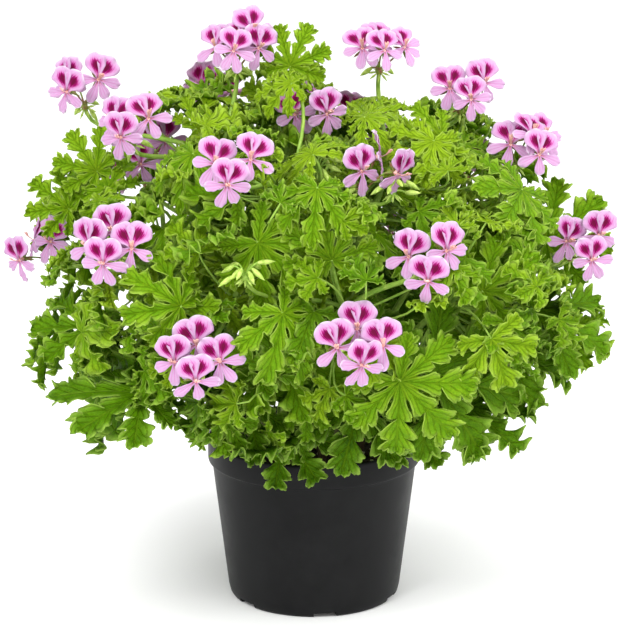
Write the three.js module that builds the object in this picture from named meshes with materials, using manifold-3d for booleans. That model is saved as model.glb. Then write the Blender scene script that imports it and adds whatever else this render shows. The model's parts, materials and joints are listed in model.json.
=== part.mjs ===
// A potted geranium with cut, scented leaves and pink umbels, in a 13 cm nursery pot.
// Millimetres, +Z up. The front is -Y, and the origin is the middle of the pot's foot.
import * as THREE from 'three';
import { mergeVertices } from 'three/addons/utils/BufferGeometryUtils.js';
import Module from 'manifold-3d';

const wasm = await Module();
wasm.setup();

// ---------------------------------------------------------------- driving dimensions

const UP = new THREE.Vector3(0, 0, 1);
const GOLDEN_ANGLE = 137.508;

const POT_SIDES = 36;
const POT_HEIGHT = 100;
const RIM_RADIUS = 65;
const FOOT_RADIUS = 51.5;
const WALL = 1.5;
const LEDGE_Z = 86;
const NECK_RADIUS = 62.6;
const NOTCH = { count: 6, first: 7.5, width: 14, height: 3, inner: 42, outer: 58 };

const SOIL_TOP = 89;
const SOIL_GAP = 0.35;
const HOLE = { bottom: 71.7, sides: 6, gap: 0.35 };

const STEM = { sides: 4, foot: 2.6, tip: 2.1, root: 72, steps: 7 };
const STALK_SITE = 0.45; // a stalk leaves a stem this share along one of its straight runs
const STEM_RINGS = [
  { count: 1, start: 100, elevation: 84, foot: 4, reach: 0.66 },
  { count: 5, start: 54, elevation: 50, foot: 15, reach: 0.68 },
  { count: 9, start: 10, elevation: 6, foot: 28, reach: 0.62 },
];

// The bush is an ellipsoid about CANOPY.centre, with a flatter underside.
const CANOPY = { centre: new THREE.Vector3(0, 0, 196), x: 176, y: 166, up: 134, down: 112 };

const LEAF_COUNT = 80;
const LEAF = { smallest: 28, largest: 49, thick: 2.1, droop: 0.22, wave: 0.055 };
const PETIOLE = { joint: 1.5, middle: 1.15, foot: 0.8, steps: 2 };
// How a leaf finds its stem: the first run it may leave, the runs tried, and its own length.
const PETIOLE_SEARCH = { firstRun: 3, tries: 14, shortest: 14, longest: 95 };
const LEAF_LAYERS = [0.94, 0.78, 0.6];
const LEAF_ATTEMPTS = 60;
const LOWEST_LEAF = 92;
const LOBES = [
  { angle: -126, length: 0.56 }, { angle: -84, length: 0.78 }, { angle: -42, length: 0.93 },
  { angle: 0, length: 1 }, { angle: 42, length: 0.93 }, { angle: 84, length: 0.78 },
  { angle: 126, length: 0.56 },
];
const LOBE = { halfAngle: 12.5, shoulder: 0.87, edgeWave: 0.6, tipWave: 0.5 };
const SINUS = { angle: 21, depth: 0.43, notchDepth: 0.14 };

// Two broad upper petals and three narrow lower ones: the direction that each points in, its
// length, and its rim as turns from its middle line and shares of its length.
const BROAD_RIM = [[-24, 0.76], [-12, 0.97], [11, 1], [23, 0.84]];
const NARROW_RIM = [[-15, 0.82], [0, 1], [15, 0.82]];
const PETALS = [
  { angle: 62, length: 18, rim: BROAD_RIM }, { angle: 118, length: 18, rim: BROAD_RIM },
  { angle: 214, length: 14, rim: NARROW_RIM }, { angle: 270, length: 14.5, rim: NARROW_RIM },
  { angle: 326, length: 14, rim: NARROW_RIM },
];
const PETAL = { thick: 1.7, throat: 3.2, cleft: 8, cup: 0.16, reflex: 0.012 };
// An umbel's rays rise from its knob. The first carries the lowest flower, furthest forward.
const UMBEL = { drop: 19, rays: [24.5, 21, 16, 18.5], splay: 0.82, turn: 0.45, twist: 26 };
const FACE_TILT = { down: -0.2, up: 0.42 };
const PEDICEL = { joint: 1.6, radius: 0.9, behind: 9, steps: 2 };
const KNOB = { radius: 2.6, height: 4, sides: 5, gap: 0.3 };
const PEDUNCLE = { sides: 3, radius: 1.5, steps: 4, neck: 3, firstRun: 3, shortest: 15 };

// Flower heads: middle of the flowers, how many, which way they face (degrees from the
// front, towards the right), the umbel's rise above level, and how far its faces spread.
const FLOWER_HEADS = [
  { name: 'top_left', at: [-46, 2, 341], flowers: 4, facing: 0, rise: 60, spread: 0.9 },
  { name: 'top_right', at: [41, 20, 338], flowers: 4, facing: 10, rise: 62, spread: 1 },
  { name: 'crown_right', at: [92, 18, 311], flowers: 3, facing: 15, rise: 50, spread: 0.6 },
  { name: 'shoulder_right', at: [129, 0, 281], flowers: 3, facing: 30, rise: 50, spread: 0.8 },
  { name: 'far_right', at: [160, -32, 227], flowers: 3, facing: 25, rise: 35, spread: 0.6 },
  { name: 'far_left_high', at: [-143, 22, 314], flowers: 3, facing: -20, rise: 55, spread: 0.9 },
  { name: 'shoulder_left', at: [-109, -38, 300], flowers: 3, facing: -10, rise: 45, spread: 0.7 },
  { name: 'behind_left', at: [-104, 50, 268], flowers: 3, facing: -10, rise: 30, spread: 0.7 },
  { name: 'left_front', at: [-115, -115, 246], flowers: 4, facing: -12, rise: 30, spread: 0.5 },
  { name: 'far_left', at: [-170, 6, 217], flowers: 3, facing: -50, rise: 35, spread: 0.8 },
  { name: 'upper_front', at: [-47, -115, 290], flowers: 3, facing: -5, rise: 35, spread: 0.5 },
  { name: 'low_left', at: [-65, -150, 189], flowers: 4, facing: 0, rise: 22, spread: 0.45 },
  { name: 'low_centre', at: [25, -165, 202], flowers: 4, facing: 5, rise: 24, spread: 0.5 },
  { name: 'right_front', at: [62, -142, 243], flowers: 3, facing: 5, rise: 28, spread: 0.45 },
  { name: 'crown_centre', at: [0, -8, 304], flowers: 3, facing: 40, rise: 65, spread: 1 },
  { name: 'upper_right', at: [38, -78, 284], flowers: 3, facing: 60, rise: 55, spread: 0.8 },
  { name: 'behind_centre', at: [34, 72, 283], flowers: 3, facing: 150, rise: 40, spread: 0.7 },
  { name: 'back_high', at: [-62, 82, 301], flowers: 3, facing: 200, rise: 50, spread: 0.8 },
  { name: 'back_left', at: [-118, 112, 246], flowers: 3, facing: 222, rise: 35, spread: 0.6 },
  { name: 'back_low', at: [-28, 158, 214], flowers: 3, facing: 188, rise: 28, spread: 0.5 },
  { name: 'back_right', at: [108, 112, 250], flowers: 3, facing: 140, rise: 35, spread: 0.6 },
  { name: 'back_low_right', at: [62, 150, 186], flowers: 3, facing: 158, rise: 25, spread: 0.5 },
];

// Leaves that show most from the front: where the stalk joins the blade, where the middle
// lobe ends, and which way the upper face looks (azimuth from the front, elevation).
const FRONT_LEAVES = [
  { joint: [66, -108, 168], tip: [122, -97, 154], face: [5, 25] },
  { joint: [90, -84, 143], tip: [118, -100, 118], face: [20, 30] },
  { joint: [108, -60, 174], tip: [152, -62, 156], face: [20, 55] },
  { joint: [132, -50, 192], tip: [175, -54, 172], face: [20, 50] },
  { joint: [54, -82, 139], tip: [72, -98, 112], face: [15, 15] },
  { joint: [-18, -76, 124], tip: [2, -90, 98], face: [5, 20] },
  { joint: [-38, -86, 146], tip: [-32, -106, 120], face: [-8, 20] },
  { joint: [-64, -72, 138], tip: [-70, -88, 112], face: [-20, 18] },
  { joint: [-99, -95, 154], tip: [-148, -100, 138], face: [-10, 40] },
  { joint: [-21, -124, 174], tip: [-26, -140, 206], face: [0, 30] },
  { joint: [10, -124, 240], tip: [4, -130, 272], face: [0, 25] },
  { joint: [70, -10, 280], tip: [58, -4, 314], face: [20, 20] },
  { joint: [-130, -60, 184], tip: [-166, -58, 186], face: [-25, 50] },
  { joint: [-122, -12, 256], tip: [-154, 0, 272], face: [-20, 40] },
  { joint: [140, 2, 220], tip: [171, 0, 247], face: [10, 35] },
  { joint: [-14, 10, 305], tip: [4, 22, 334], face: [0, 35] },
  { joint: [-70, -6, 290], tip: [-88, -2, 317], face: [-10, 35] },
  { joint: [-84, -118, 212], tip: [-108, -132, 236], face: [-15, 40] },
  { joint: [96, -100, 216], tip: [126, -98, 238], face: [20, 45] },
];

// How far parts keep apart: a blade's middle plane from others, a rod from a blade, two rods,
// and leaves from the pot and the soil.
const BLADE_GAP = 1.7;
const ROD_GAP = 1.2;
const RODS_APART = 0.5;
const POT_CLEARANCE = 3;

const LOOKS = {
  pot: { color: '#2c2d2f', roughness: 0.42, metalness: 0 },
  soil: { color: '#3a2a20', roughness: 0.95, metalness: 0 },
  leaf: { color: '#7fb31e', roughness: 0.55, metalness: 0 },
  petal: { color: '#eeb6e6', roughness: 0.6, metalness: 0 },
};

// ---------------------------------------------------------------- small tools

const vec = (x, y, z) => new THREE.Vector3(x, y, z);
const mix = (a, b, t) => a + (b - a) * t;
const sum = (...parts) => parts.reduce((total, [v, k]) => total.addScaledVector(v, k), vec(0, 0, 0));

function seededRandom(seed) {
  let state = Math.imul(seed + 1, 2654435761) >>> 0;
  return () => {
    state = (Math.imul(state, 1664525) + 1013904223) >>> 0;
    return state / 4294967296;
  };
}

// A direction from an azimuth (degrees from the front, towards the right) and an elevation.
function direction(azimuth, elevation) {
  const a = THREE.MathUtils.degToRad(azimuth);
  const e = THREE.MathUtils.degToRad(elevation);
  return vec(Math.sin(a) * Math.cos(e), -Math.cos(a) * Math.cos(e), Math.sin(e));
}

function canopyRadius(u) {
  const rise = u.z > 0 ? CANOPY.up : CANOPY.down;
  return 1 / Math.hypot(u.x / CANOPY.x, u.y / CANOPY.y, u.z / rise);
}

function bezier(points, steps) {
  const curve = points.length === 3
    ? new THREE.QuadraticBezierCurve3(...points)
    : new THREE.CubicBezierCurve3(...points);
  return curve.getPoints(steps);
}

function solid({ points, triangles }) {
  return new wasm.Manifold(new wasm.Mesh({
    numProp: 3,
    vertProperties: new Float32Array(points.flatMap((p) => [p.x, p.y, p.z])),
    triVerts: new Uint32Array(triangles.flat()),
  }));
}

function solidOf(geometry) {
  geometry.deleteAttribute('normal');
  geometry.deleteAttribute('uv');
  const merged = mergeVertices(geometry, 1e-4);
  return new wasm.Manifold(new wasm.Mesh({
    numProp: 3,
    vertProperties: new Float32Array(merged.attributes.position.array),
    triVerts: new Uint32Array(merged.index.array),
  }));
}

function namedMesh(name, body, look) {
  const { vertProperties, triVerts } = body.getMesh();
  const geometry = new THREE.BufferGeometry();
  geometry.setAttribute('position', new THREE.BufferAttribute(new Float32Array(vertProperties), 3));
  geometry.setIndex(new THREE.BufferAttribute(new Uint32Array(triVerts), 1));
  geometry.computeVertexNormals();
  const mesh = new THREE.Mesh(geometry, new THREE.MeshStandardMaterial(look));
  mesh.name = name;
  return mesh;
}

// ---------------------------------------------------------------- rods and blades

// Rings of `sides` points round a path. The first ring's two axes may be given, so that a
// stalk starts in the plane of the blade it carries.
function ringsAlong(path, radii, sides, firstAxes) {
  const rings = [];
  let axis = firstAxes?.[0] ?? null;
  path.forEach((point, i) => {
    const ahead = path[Math.min(i + 1, path.length - 1)];
    const along = ahead.clone().sub(path[Math.max(i - 1, 0)]).normalize();
    const guess = axis ?? (Math.abs(along.x) < 0.8 ? vec(1, 0, 0) : vec(0, 1, 0));
    axis = guess.clone().addScaledVector(along, -guess.dot(along)).normalize();
    const side = axis.clone().cross(along);
    const [e1, e2] = i === 0 && firstAxes ? firstAxes : [axis, side];
    rings.push(Array.from({ length: sides }, (_, k) => {
      const turn = (2 * Math.PI * (k + 0.5)) / sides;
      return sum([point, 1], [e1, radii[i] * Math.cos(turn)], [e2, radii[i] * Math.sin(turn)]);
    }));
  });
  return rings;
}

function stitchRings(triangles, first, ringCount, sides) {
  for (let i = 0; i < ringCount - 1; i += 1) {
    for (let k = 0; k < sides; k += 1) {
      const a = first + i * sides + k;
      const b = first + i * sides + ((k + 1) % sides);
      triangles.push([a, a + sides, b], [b, a + sides, b + sides]);
    }
  }
}

function capRing(triangles, first, sides, outward) {
  for (let k = 1; k < sides - 1; k += 1) {
    triangles.push(outward ? [first, first + k + 1, first + k] : [first, first + k, first + k + 1]);
  }
}

function rodSolid(path, radii, sides) {
  const rings = ringsAlong(path, radii, sides);
  const triangles = [];
  capRing(triangles, 0, sides, false);
  stitchRings(triangles, 0, rings.length, sides);
  capRing(triangles, (rings.length - 1) * sides, sides, true);
  return solid({ points: rings.flat(), triangles });
}

// A blade is one thin lens on a wavy outline round its joint with a three-sided stalk.
// `place` has the joint and three axes: `along`, `side`, and `face`, which points out of the
// upper face.
function bladePoint(place, u, v, w) {
  return sum([place.joint, 1], [place.along, u], [place.side, v], [place.face, w]);
}

function bladeRim(place, outline) {
  return outline.map(({ angle, radius, lift }) => {
    const turn = THREE.MathUtils.degToRad(angle);
    return bladePoint(place, radius * Math.cos(turn), radius * Math.sin(turn), lift);
  });
}

function bladeSolid(place, outline, thick, stalk, stalkRadii) {
  const sides = 3;
  const rim = bladeRim(place, outline);
  const count = rim.length;
  const joint = bladePoint(place, 0, 0, thick / 2);
  const stalkStart = bladePoint(place, 0, 0, -thick / 2);
  const stalkPath = [stalkStart, ...stalk.slice(1)];
  const rings = ringsAlong(stalkPath, stalkRadii, sides, [place.along, place.side]);
  const first = count + 1;
  const triangles = [];
  const third = (angle) => Math.floor((angle - 360 * Math.floor(angle / 360)) / 120);
  const nearest = (i) => third(outline[i].angle) % sides;
  for (let i = 0; i < count; i += 1) {
    const next = (i + 1) % count;
    triangles.push([count, i, next]);
    triangles.push([next, i, first + nearest(i)]);
    if (nearest(i) !== nearest(next)) {
      triangles.push([next, first + nearest(i), first + nearest(next)]);
    }
  }
  stitchRings(triangles, first, rings.length, sides);
  capRing(triangles, first + (rings.length - 1) * sides, sides, true);
  return solid({ points: [...rim, joint, ...rings.flat()], triangles });
}

// ---------------------------------------------------------------- what is already placed

const placedBlades = [];
const placedRods = [];

function boxOf(points, gap) {
  return new THREE.Box3().setFromPoints(points).expandByScalar(gap);
}

function bladeShape(place, outline) {
  const rim = bladeRim(place, outline);
  return { joint: place.joint, rim, box: boxOf([...rim, place.joint], BLADE_GAP / 2) };
}

function rodShape(path, radius, stem) {
  return { path, radius, stem, box: boxOf(path, radius + RODS_APART / 2) };
}

// True where the segment pq comes within `gap` of the triangle abc.
function segmentMeetsTriangle(p, q, a, b, c, gap) {
  const normal = b.clone().sub(a).cross(c.clone().sub(a)).normalize();
  const dp = normal.dot(p) - normal.dot(a);
  const dq = normal.dot(q) - normal.dot(a);
  if (Math.min(dp, dq) > gap || Math.max(dp, dq) < -gap) return false;
  const crossing = dp * dq < 0 ? dp / (dp - dq) : Number(Math.abs(dq) < Math.abs(dp));
  const at = p.clone().lerp(q, crossing);
  return [[a, b], [b, c], [c, a]].every(([from, to]) => {
    const inward = normal.clone().cross(to.clone().sub(from)).normalize();
    return at.clone().sub(from).dot(inward) > -gap;
  });
}

function segmentMeetsBlade(p, q, blade, gap) {
  if (!boxOf([p, q], gap).intersectsBox(blade.box)) return false;
  return blade.rim.some((point, i) => {
    const next = blade.rim[(i + 1) % blade.rim.length];
    return segmentMeetsTriangle(p, q, blade.joint, point, next, gap);
  });
}

function bladeEdgesMeet(one, other) {
  return one.rim.some((point, i) => {
    const next = one.rim[(i + 1) % one.rim.length];
    return segmentMeetsBlade(point, next, other, BLADE_GAP)
      || segmentMeetsBlade(one.joint, point, other, BLADE_GAP);
  });
}

function bladesMeet(one, other) {
  return one.box.intersectsBox(other.box) && (bladeEdgesMeet(one, other) || bladeEdgesMeet(other, one));
}

function rodMeetsBlade(rod, blade) {
  if (!rod.box.intersectsBox(blade.box)) return false;
  return rod.path.slice(1).some((point, i) => (
    segmentMeetsBlade(rod.path[i], point, blade, rod.radius + ROD_GAP)));
}

function segmentDistance(p, q, r, s) {
  const d1 = q.clone().sub(p);
  const d2 = s.clone().sub(r);
  const offset = p.clone().sub(r);
  const a = d1.dot(d1);
  const e = d2.dot(d2);
  const f = d2.dot(offset);
  const c = d1.dot(offset);
  const b = d1.dot(d2);
  const spread = a * e - b * b;
  let t = spread > 1e-9 ? THREE.MathUtils.clamp((b * f - c * e) / spread, 0, 1) : 0;
  const u = THREE.MathUtils.clamp((b * t + f) / e, 0, 1);
  t = THREE.MathUtils.clamp((b * u - c) / a, 0, 1);
  return p.clone().addScaledVector(d1, t).distanceTo(r.clone().addScaledVector(d2, u));
}

function rodsMeet(one, other) {
  if (!one.box.intersectsBox(other.box)) return false;
  const apart = one.radius + other.radius + RODS_APART;
  return one.path.slice(1).some((q, i) => (
    other.path.slice(1).some((s, j) => segmentDistance(one.path[i], q, other.path[j], s) < apart)));
}

// A rod may meet its own stem, and `carried`, the flower head on its end.
function rodIsClear(rod, carried) {
  const owned = (other) => other.stem === rod.stem || other.stem === carried;
  return !placedRods.some((other) => !owned(other) && rodsMeet(rod, other))
    && !placedBlades.some((blade) => rodMeetsBlade(rod, blade));
}

function bladeIsClear(blade) {
  return !placedBlades.some((other) => bladesMeet(blade, other))
    && !placedRods.some((rod) => rodMeetsBlade(rod, blade));
}

// Leaves stay above the soil, clear of the rim, and hang no lower than `LOWEST_LEAF`.
function aboveThePot(points) {
  return points.every((p) => {
    const reach = Math.hypot(p.x, p.y);
    return p.z > POT_HEIGHT + POT_CLEARANCE
      || (p.z > LOWEST_LEAF && reach > RIM_RADIUS + POT_CLEARANCE)
      || (p.z > SOIL_TOP + POT_CLEARANCE && reach < NECK_RADIUS - POT_CLEARANCE);
  });
}

// ---------------------------------------------------------------- pot and soil

function lathe(profile, sides) {
  const outline = profile.map(([r, z]) => new THREE.Vector2(r, z));
  const geometry = new THREE.LatheGeometry(outline, sides);
  geometry.rotateX(Math.PI / 2);
  return solidOf(geometry);
}

function potSolid() {
  const innerRim = RIM_RADIUS - WALL;
  const innerNeck = NECK_RADIUS - WALL;
  const innerFoot = FOOT_RADIUS - WALL;
  const profile = [
    [0, 0], [FOOT_RADIUS, 0], [FOOT_RADIUS + 1.7, 2], [NECK_RADIUS, LEDGE_Z - 3],
    [RIM_RADIUS - 0.5, LEDGE_Z - 0.5], [RIM_RADIUS, LEDGE_Z + 2], [RIM_RADIUS, POT_HEIGHT - 1.2],
    [RIM_RADIUS - 0.6, POT_HEIGHT], [innerRim, POT_HEIGHT], [innerRim, LEDGE_Z + 1],
    [innerNeck, LEDGE_Z - 2], [innerFoot + 1.7, WALL + 2], [innerFoot, WALL], [0, WALL],
  ];
  const notch = new THREE.BoxGeometry(NOTCH.outer - NOTCH.inner, NOTCH.width, 2 * NOTCH.height);
  notch.translate((NOTCH.outer + NOTCH.inner) / 2, 0, 0);
  let pot = lathe(profile, POT_SIDES);
  for (let k = 0; k < NOTCH.count; k += 1) {
    const azimuth = NOTCH.first + (360 / NOTCH.count) * k - 90;
    pot = pot.subtract(solidOf(notch.clone().rotateZ(THREE.MathUtils.degToRad(azimuth))));
  }
  return pot;
}

// The growing medium fills the pot and rests on its floor. It steps up clear of the drain
// notches, and each stem stands in a plain blind hole in its top.
function soilSolid(roots) {
  const wallAt = (z) => mix(FOOT_RADIUS, NECK_RADIUS, z / (LEDGE_Z - 3)) - WALL - SOIL_GAP;
  const aboveNotch = NOTCH.height + SOIL_GAP;
  const rim = RIM_RADIUS - WALL - SOIL_GAP;
  let soil = lathe([
    [0, WALL + SOIL_GAP], [NOTCH.inner - 2, WALL + SOIL_GAP], [NOTCH.inner - 1, aboveNotch],
    [wallAt(aboveNotch) - 0.6, aboveNotch + 0.6], [wallAt(LEDGE_Z - 4), LEDGE_Z - 4],
    [rim - 1.4, SOIL_TOP - 1], [0, SOIL_TOP],
  ], POT_SIDES);
  roots.forEach((root) => {
    const hole = [vec(root.x, root.y, HOLE.bottom), vec(root.x, root.y, SOIL_TOP + 5)];
    const radius = (STEM.foot + HOLE.gap) / Math.cos(Math.PI / HOLE.sides);
    soil = soil.subtract(rodSolid(hole, [radius, radius], HOLE.sides));
  });
  return soil;
}

// ---------------------------------------------------------------- stems

function stemPaths() {
  return STEM_RINGS.flatMap(({ count, start, elevation, foot, reach }, ring) => (
    Array.from({ length: count }, (_, k) => {
      const random = seededRandom(100 * ring + k);
      const azimuth = start + (360 / count) * k;
      const lean = direction(azimuth + 14 * (random() - 0.5), elevation + 12 * (random() - 0.5));
      const tip = sum([CANOPY.centre, 1], [lean, canopyRadius(lean) * reach]);
      const ground = direction(azimuth, 0).multiplyScalar(foot).setZ(SOIL_TOP + 3);
      const rise = (tip.z - ground.z) * mix(0.75, 0.5, ring / 2);
      const bend = ground.clone().multiplyScalar(1.25).setZ(ground.z + rise);
      const root = ground.clone().setZ(STEM.root);
      return [root, ...bezier([ground, bend, tip], STEM.steps)];
    })));
}

function stemRadii(path) {
  return path.map((_, i) => mix(STEM.foot, STEM.tip, i / (path.length - 1)));
}

// Places where a stalk can leave a stem, nearest to `target` first.
function nodesNear(target, stems, from) {
  const places = [];
  stems.forEach((path, stem) => {
    for (let i = from; i < path.length - 1; i += 1) {
      const at = path[i].clone().lerp(path[i + 1], STALK_SITE);
      places.push({ stem, at, distance: at.distanceTo(target) });
    }
  });
  return places.sort((a, b) => a.distance - b.distance);
}

// ---------------------------------------------------------------- flower heads

function petalOutline() {
  const lift = (radius) => PETAL.cup * radius - PETAL.reflex * radius * radius;
  return PETALS.flatMap(({ angle, length, rim }, i) => {
    const next = PETALS[(i + 1) % PETALS.length];
    const halfway = ((next.angle - angle + 360) % 360) / 2;
    const points = rim.map(([turn, share]) => (i === 1 ? [-turn, share] : [turn, share]));
    points.sort((a, b) => a[0] - b[0]);
    points.push([halfway, (i === 0 ? PETAL.cleft : PETAL.throat) / length]);
    return points.map(([turn, share]) => (
      { angle: angle + turn, radius: length * share, lift: lift(length * share) }));
  });
}

function flowerPlaces(head) {
  const facing = direction(head.facing, 0);
  const axis = direction(head.facing, head.rise);
  const across = UP.clone().cross(facing).normalize();
  const over = axis.clone().cross(across).normalize();
  const base = sum([vec(...head.at), 1], [axis, -UMBEL.drop]);
  const random = seededRandom(FLOWER_HEADS.indexOf(head));
  const lowest = -90 + UMBEL.twist * (random() - 0.5);
  return Array.from({ length: head.flowers }, (_, i) => {
    const turn = THREE.MathUtils.degToRad(lowest + (360 * i) / head.flowers);
    const offset = sum([across, Math.cos(turn)], [over, Math.sin(turn)]);
    const ray = sum([axis, 1], [offset, UMBEL.splay]).normalize();
    const joint = sum([base, 1], [ray, UMBEL.rays[i]]);
    const face = sum([facing, 1], [offset, UMBEL.turn * head.spread]).normalize();
    face.setZ(THREE.MathUtils.clamp(face.z, FACE_TILT.down, FACE_TILT.up)).normalize();
    const along = UP.clone().addScaledVector(face, -UP.dot(face)).normalize();
    return { base, axis, joint, face, along, side: face.clone().cross(along) };
  });
}

function pedicelPath(flower) {
  const knobCentre = sum([flower.base, 1], [flower.axis, -KNOB.height / 2]);
  const behind = sum([flower.joint, 1], [flower.face, -PEDICEL.behind]);
  return bezier([flower.joint, behind, knobCentre], PEDICEL.steps);
}

function placeHead(head) {
  const outline = petalOutline();
  const flowers = flowerPlaces(head);
  const { base, axis } = flowers[0];
  const knob = [sum([base, 1], [axis, -KNOB.height]), base];
  const foot = sum([base, 1], [axis, -KNOB.height - KNOB.gap]);
  let body = rodSolid(knob, [KNOB.radius, KNOB.radius * 0.8], KNOB.sides);
  flowers.forEach((flower) => {
    const stalk = pedicelPath(flower);
    const radii = [PEDICEL.joint, PEDICEL.radius, PEDICEL.radius];
    body = body.add(bladeSolid(flower, outline, PETAL.thick, stalk, radii));
    placedBlades.push(bladeShape(flower, outline));
    placedRods.push(rodShape(stalk, PEDICEL.radius, head.name));
  });
  placedRods.push(rodShape(knob, KNOB.radius, head.name));
  return { head, body, foot, axis };
}

function placePeduncle({ head, foot, axis }, stems) {
  for (const { stem, at, distance } of nodesNear(foot, stems, PEDUNCLE.firstRun)) {
    const neck = sum([foot, 1], [axis, -PEDUNCLE.neck]);
    const path = [...bezier([
      at, sum([at, 1], [UP, distance * 0.25], [axis, distance * 0.1]),
      sum([neck, 1], [axis, -distance * 0.3]), neck,
    ], PEDUNCLE.steps), foot];
    const shape = rodShape(path.slice(0, -1), PEDUNCLE.radius, stem);
    if (distance > PEDUNCLE.shortest && rodIsClear(shape, head.name)) {
      placedRods.push(rodShape(path, PEDUNCLE.radius, stem));
      return { stem, body: rodSolid(path, path.map(() => PEDUNCLE.radius), PEDUNCLE.sides) };
    }
  }
  throw new Error('a flower head has no clear way to a stem');
}

// ---------------------------------------------------------------- leaves

function leafOutline(length, curl) {
  const lift = (share, wave) => length * (wave - curl * share * share);
  return LOBES.flatMap(({ angle, length: reach }, i) => {
    const flap = LEAF.wave * (i % 2 ? 1 : -1);
    const lobe = [
      { angle: angle - LOBE.halfAngle, share: reach * LOBE.shoulder, wave: flap * LOBE.edgeWave },
      { angle, share: reach, wave: -Math.abs(flap) * LOBE.tipWave },
      { angle: angle + LOBE.halfAngle, share: reach * LOBE.shoulder, wave: -flap * LOBE.edgeWave },
    ];
    const last = i === LOBES.length - 1;
    const sinus = last
      ? { angle: 180, share: SINUS.notchDepth, wave: 0 }
      : { angle: angle + SINUS.angle, share: SINUS.depth * reach, wave: LEAF.wave };
    const basal = i === 0 || last;
    return [...(basal ? [lobe[0], lobe[2]] : lobe), sinus].map((point) => ({
      angle: point.angle, radius: length * point.share, lift: lift(point.share, point.wave),
    }));
  });
}

// Leaf k of the golden-angle spiral over the bush, and one of its tries at a free place.
function spiralPlace(k, attempt) {
  const random = seededRandom(977 * k + attempt);
  const loose = 1 + attempt / 15;
  const jitter = (size) => size * (random() - 0.5);
  const share = (k + 0.5) / LEAF_COUNT;
  const height = THREE.MathUtils.clamp(1 - 1.6 * share + jitter(0.07 * loose), -0.64, 0.995);
  const elevation = THREE.MathUtils.radToDeg(Math.asin(height));
  const outwards = direction(k * GOLDEN_ANGLE + jitter(12 * loose), elevation);
  const layer = LEAF_LAYERS[k % LEAF_LAYERS.length] + jitter(0.08 * loose);
  const length = mix(LEAF.smallest, LEAF.largest, Math.min(1, share * 1.15)) * (1 + jitter(0.2));
  const scatter = () => vec(jitter(1), jitter(1), jitter(1));
  const face = sum([outwards, 0.8], [UP, 0.4], [scatter(), 1.1]).normalize();
  const level = direction(k * GOLDEN_ANGLE, 0);
  const along = sum([level, 0.7], [UP, mix(0.7, -0.8, share)], [scatter(), 1.3]);
  along.addScaledVector(face, -along.dot(face)).normalize();
  const middle = sum([CANOPY.centre, 1], [outwards, canopyRadius(outwards) * Math.min(layer, 1)]);
  const joint = sum([middle, 1], [along, -0.45 * length]);
  const curl = LEAF.droop + jitter(0.16);
  return { joint, along, face, side: face.clone().cross(along), length, curl };
}

// A leaf of the front list. Each further try looks a little further from its own place.
function frontPlace(k, attempt) {
  const { joint, tip, face } = FRONT_LEAVES[k];
  const random = seededRandom(31 * k + attempt);
  const shift = vec(random() - 0.5, random() - 0.5, random() - 0.5).multiplyScalar(attempt * 0.5);
  const along = vec(...tip).sub(vec(...joint));
  const length = along.length();
  along.normalize();
  const up = direction(...face);
  up.addScaledVector(along, -up.dot(along)).normalize();
  const side = up.clone().cross(along);
  return { joint: vec(...joint).add(shift), along, face: up, side, length, curl: LEAF.droop };
}

function petiolePath(place, at) {
  const reach = at.distanceTo(place.joint) * 0.45;
  const under = sum([place.joint, 1], [place.along, -0.55 * reach], [place.face, -0.6 * reach]);
  return bezier([place.joint, under, at], PETIOLE.steps);
}

function placeLeaf(placeOf, k, stems) {
  for (let attempt = 0; attempt < LEAF_ATTEMPTS; attempt += 1) {
    const place = placeOf(k, attempt);
    const outline = leafOutline(place.length, place.curl);
    const shape = bladeShape(place, outline);
    if (!aboveThePot(shape.rim) || !bladeIsClear(shape)) continue;
    const { firstRun, tries, shortest, longest } = PETIOLE_SEARCH;
    for (const { stem, at, distance } of nodesNear(place.joint, stems, firstRun).slice(0, tries)) {
      const stalk = petiolePath(place, at);
      const rod = rodShape(stalk, PETIOLE.middle, stem);
      const fits = distance >= shortest && distance <= longest && aboveThePot(stalk);
      if (!fits || !rodIsClear(rod)) continue;
      placedBlades.push(shape);
      placedRods.push(rod);
      const radii = [PETIOLE.joint, PETIOLE.middle, PETIOLE.foot];
      return { stem, body: bladeSolid(place, outline, LEAF.thick, stalk, radii) };
    }
  }
  return null;
}

// ---------------------------------------------------------------- assembly

const stems = stemPaths();
stems.forEach((path, stem) => placedRods.push(rodShape(path, STEM.foot, stem)));
const heads = FLOWER_HEADS.map(placeHead);
const growth = heads.map((head) => placePeduncle(head, stems));
FRONT_LEAVES.forEach((_, k) => growth.push(placeLeaf(frontPlace, k, stems)));
for (let k = 0; k < LEAF_COUNT; k += 1) growth.push(placeLeaf(spiralPlace, k, stems));

const plant = new THREE.Group();
plant.add(namedMesh('pot', potSolid(), LOOKS.pot));
plant.add(namedMesh('growing_medium', soilSolid(stems.map((path) => path[0])), LOOKS.soil));
stems.forEach((path, stem) => {
  const parts = growth.filter((part) => part?.stem === stem).map((part) => part.body);
  const stalk = rodSolid(path, stemRadii(path), STEM.sides);
  const body = parts.reduce((joined, part) => joined.add(part), stalk);
  plant.add(namedMesh(`leafy_stem_${String(stem + 1).padStart(2, '0')}`, body, LOOKS.leaf));
});
heads.forEach(({ head, body }) => {
  plant.add(namedMesh(`flower_head_${head.name}`, body, LOOKS.petal));
});

export default plant;
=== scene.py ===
"""A potted scented-leaf geranium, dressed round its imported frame.

The scene is in metres with +Z up, and the front is -Y. The plant's rule and its sizes are in
millimetres, as a grower would measure them, and MM turns them into metres.
"""
import json
import math

import bpy
import numpy as np
from mathutils import Matrix, Vector, noise
from mathutils.kdtree import KDTree

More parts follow.
